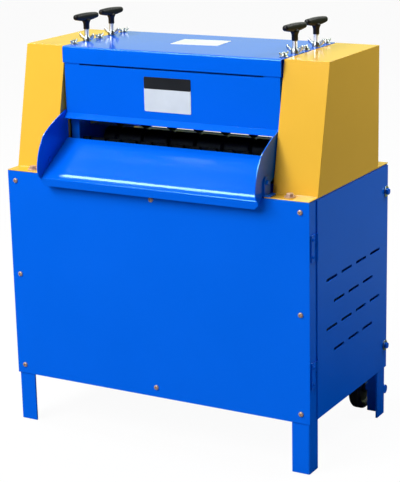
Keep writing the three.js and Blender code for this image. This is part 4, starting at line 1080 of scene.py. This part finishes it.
def makeFloor():
    bm = bmesh.new()
    bmesh.ops.create_grid(bm, x_segments=2, y_segments=2, size=stage["floorSize"])
    floor = objectFrom("floor", bm, skin["smooth"])
    tree, shader, coords = newMaterial("paleFloor")
    shader.inputs["Base Color"].default_value = stage["floorColor"]
    shader.inputs["Roughness"].default_value = stage["floorRough"]
    shader.inputs["Specular IOR Level"].default_value = stage["floorLevel"]
    glow = tree.nodes.new("ShaderNodeEmission")
    glow.inputs["Strength"].default_value = stage["seen"]
    path = tree.nodes.new("ShaderNodeLightPath")
    share = tree.nodes.new("ShaderNodeMath")
    share.operation = "MULTIPLY"
    share.inputs[1].default_value = stage["floorShare"]
    tree.links.new(path.outputs["Is Camera Ray"], share.inputs[0])
    mix = tree.nodes.new("ShaderNodeMixShader")
    tree.links.new(share.outputs[0], mix.inputs[0])
    tree.links.new(shader.outputs[0], mix.inputs[1])
    tree.links.new(glow.outputs[0], mix.inputs[2])
    dim = tree.nodes.new("ShaderNodeEmission")
    dim.inputs["Color"].default_value = stage["reflectedColor"]
    place = tree.nodes.new("ShaderNodeSeparateXYZ")
    tree.links.new(coords.outputs["Object"], place.inputs["Vector"])
    behind = rampNode(tree, place.outputs["Y"], 0.0, stage["reflectedFloor"], *stage["floorRamp"])
    tree.links.new(behind, dim.inputs["Strength"])
    mirrored = tree.nodes.new("ShaderNodeMixShader")
    tree.links.new(path.outputs["Is Glossy Ray"], mirrored.inputs[0])
    tree.links.new(mix.outputs[0], mirrored.inputs[1])
    tree.links.new(dim.outputs[0], mirrored.inputs[2])
    tree.links.new(mirrored.outputs[0], tree.nodes["Material Output"].inputs["Surface"])
    floor.data.materials.append(finishes["paleFloor"])
    floor.matrix_world = Matrix.Translation((0, 0, -stage["floorDrop"]))


def makeSurroundings():
    world = bpy.data.worlds.new("surroundings")
    bpy.context.scene.world = world
    world.use_nodes = True
    tree = world.node_tree
    background = tree.nodes["Background"]
    rays = tree.nodes.new("ShaderNodeLightPath")
    coords = tree.nodes.new("ShaderNodeTexCoord")
    direction = tree.nodes.new("ShaderNodeSeparateXYZ")
    tree.links.new(coords.outputs["Generated"], direction.inputs["Vector"])
    reflected = rampNode(tree, direction.outputs["Y"], stage["reflectedFront"], stage["reflectedBack"],
                         *stage["backRamp"])
    height = rampNode(tree, direction.outputs["Z"], 1.0, stage["reflectedAbove"], *stage["heightRamp"])
    backdrop = tree.nodes.new("ShaderNodeMath")
    backdrop.operation = "MULTIPLY"
    tree.links.new(reflected, backdrop.inputs[0])
    tree.links.new(height, backdrop.inputs[1])
    glossy = tree.nodes.new("ShaderNodeMix")
    glossy.inputs["A"].default_value = stage["ambient"]
    tree.links.new(rays.outputs["Is Glossy Ray"], glossy.inputs["Factor"])
    tree.links.new(backdrop.outputs[0], glossy.inputs["B"])
    seen = tree.nodes.new("ShaderNodeMix")
    seen.inputs["B"].default_value = stage["seen"]
    tree.links.new(rays.outputs["Is Camera Ray"], seen.inputs["Factor"])
    tree.links.new(glossy.outputs["Result"], seen.inputs["A"])
    tree.links.new(seen.outputs["Result"], background.inputs["Strength"])
    hue = tree.nodes.new("ShaderNodeMix")
    hue.data_type = "RGBA"
    hue.inputs["A"].default_value = (1, 1, 1, 1)
    hue.inputs["B"].default_value = stage["reflectedColor"]
    tree.links.new(rays.outputs["Is Glossy Ray"], hue.inputs["Factor"])
    tree.links.new(hue.outputs["Result"], background.inputs["Color"])


makeFloor()
for lampName, look in stage["lamps"].items():
    makeLamp(lampName, look)
makeSurroundings()
bpy.context.scene.view_settings.view_transform = "Standard"
print("stage ready")
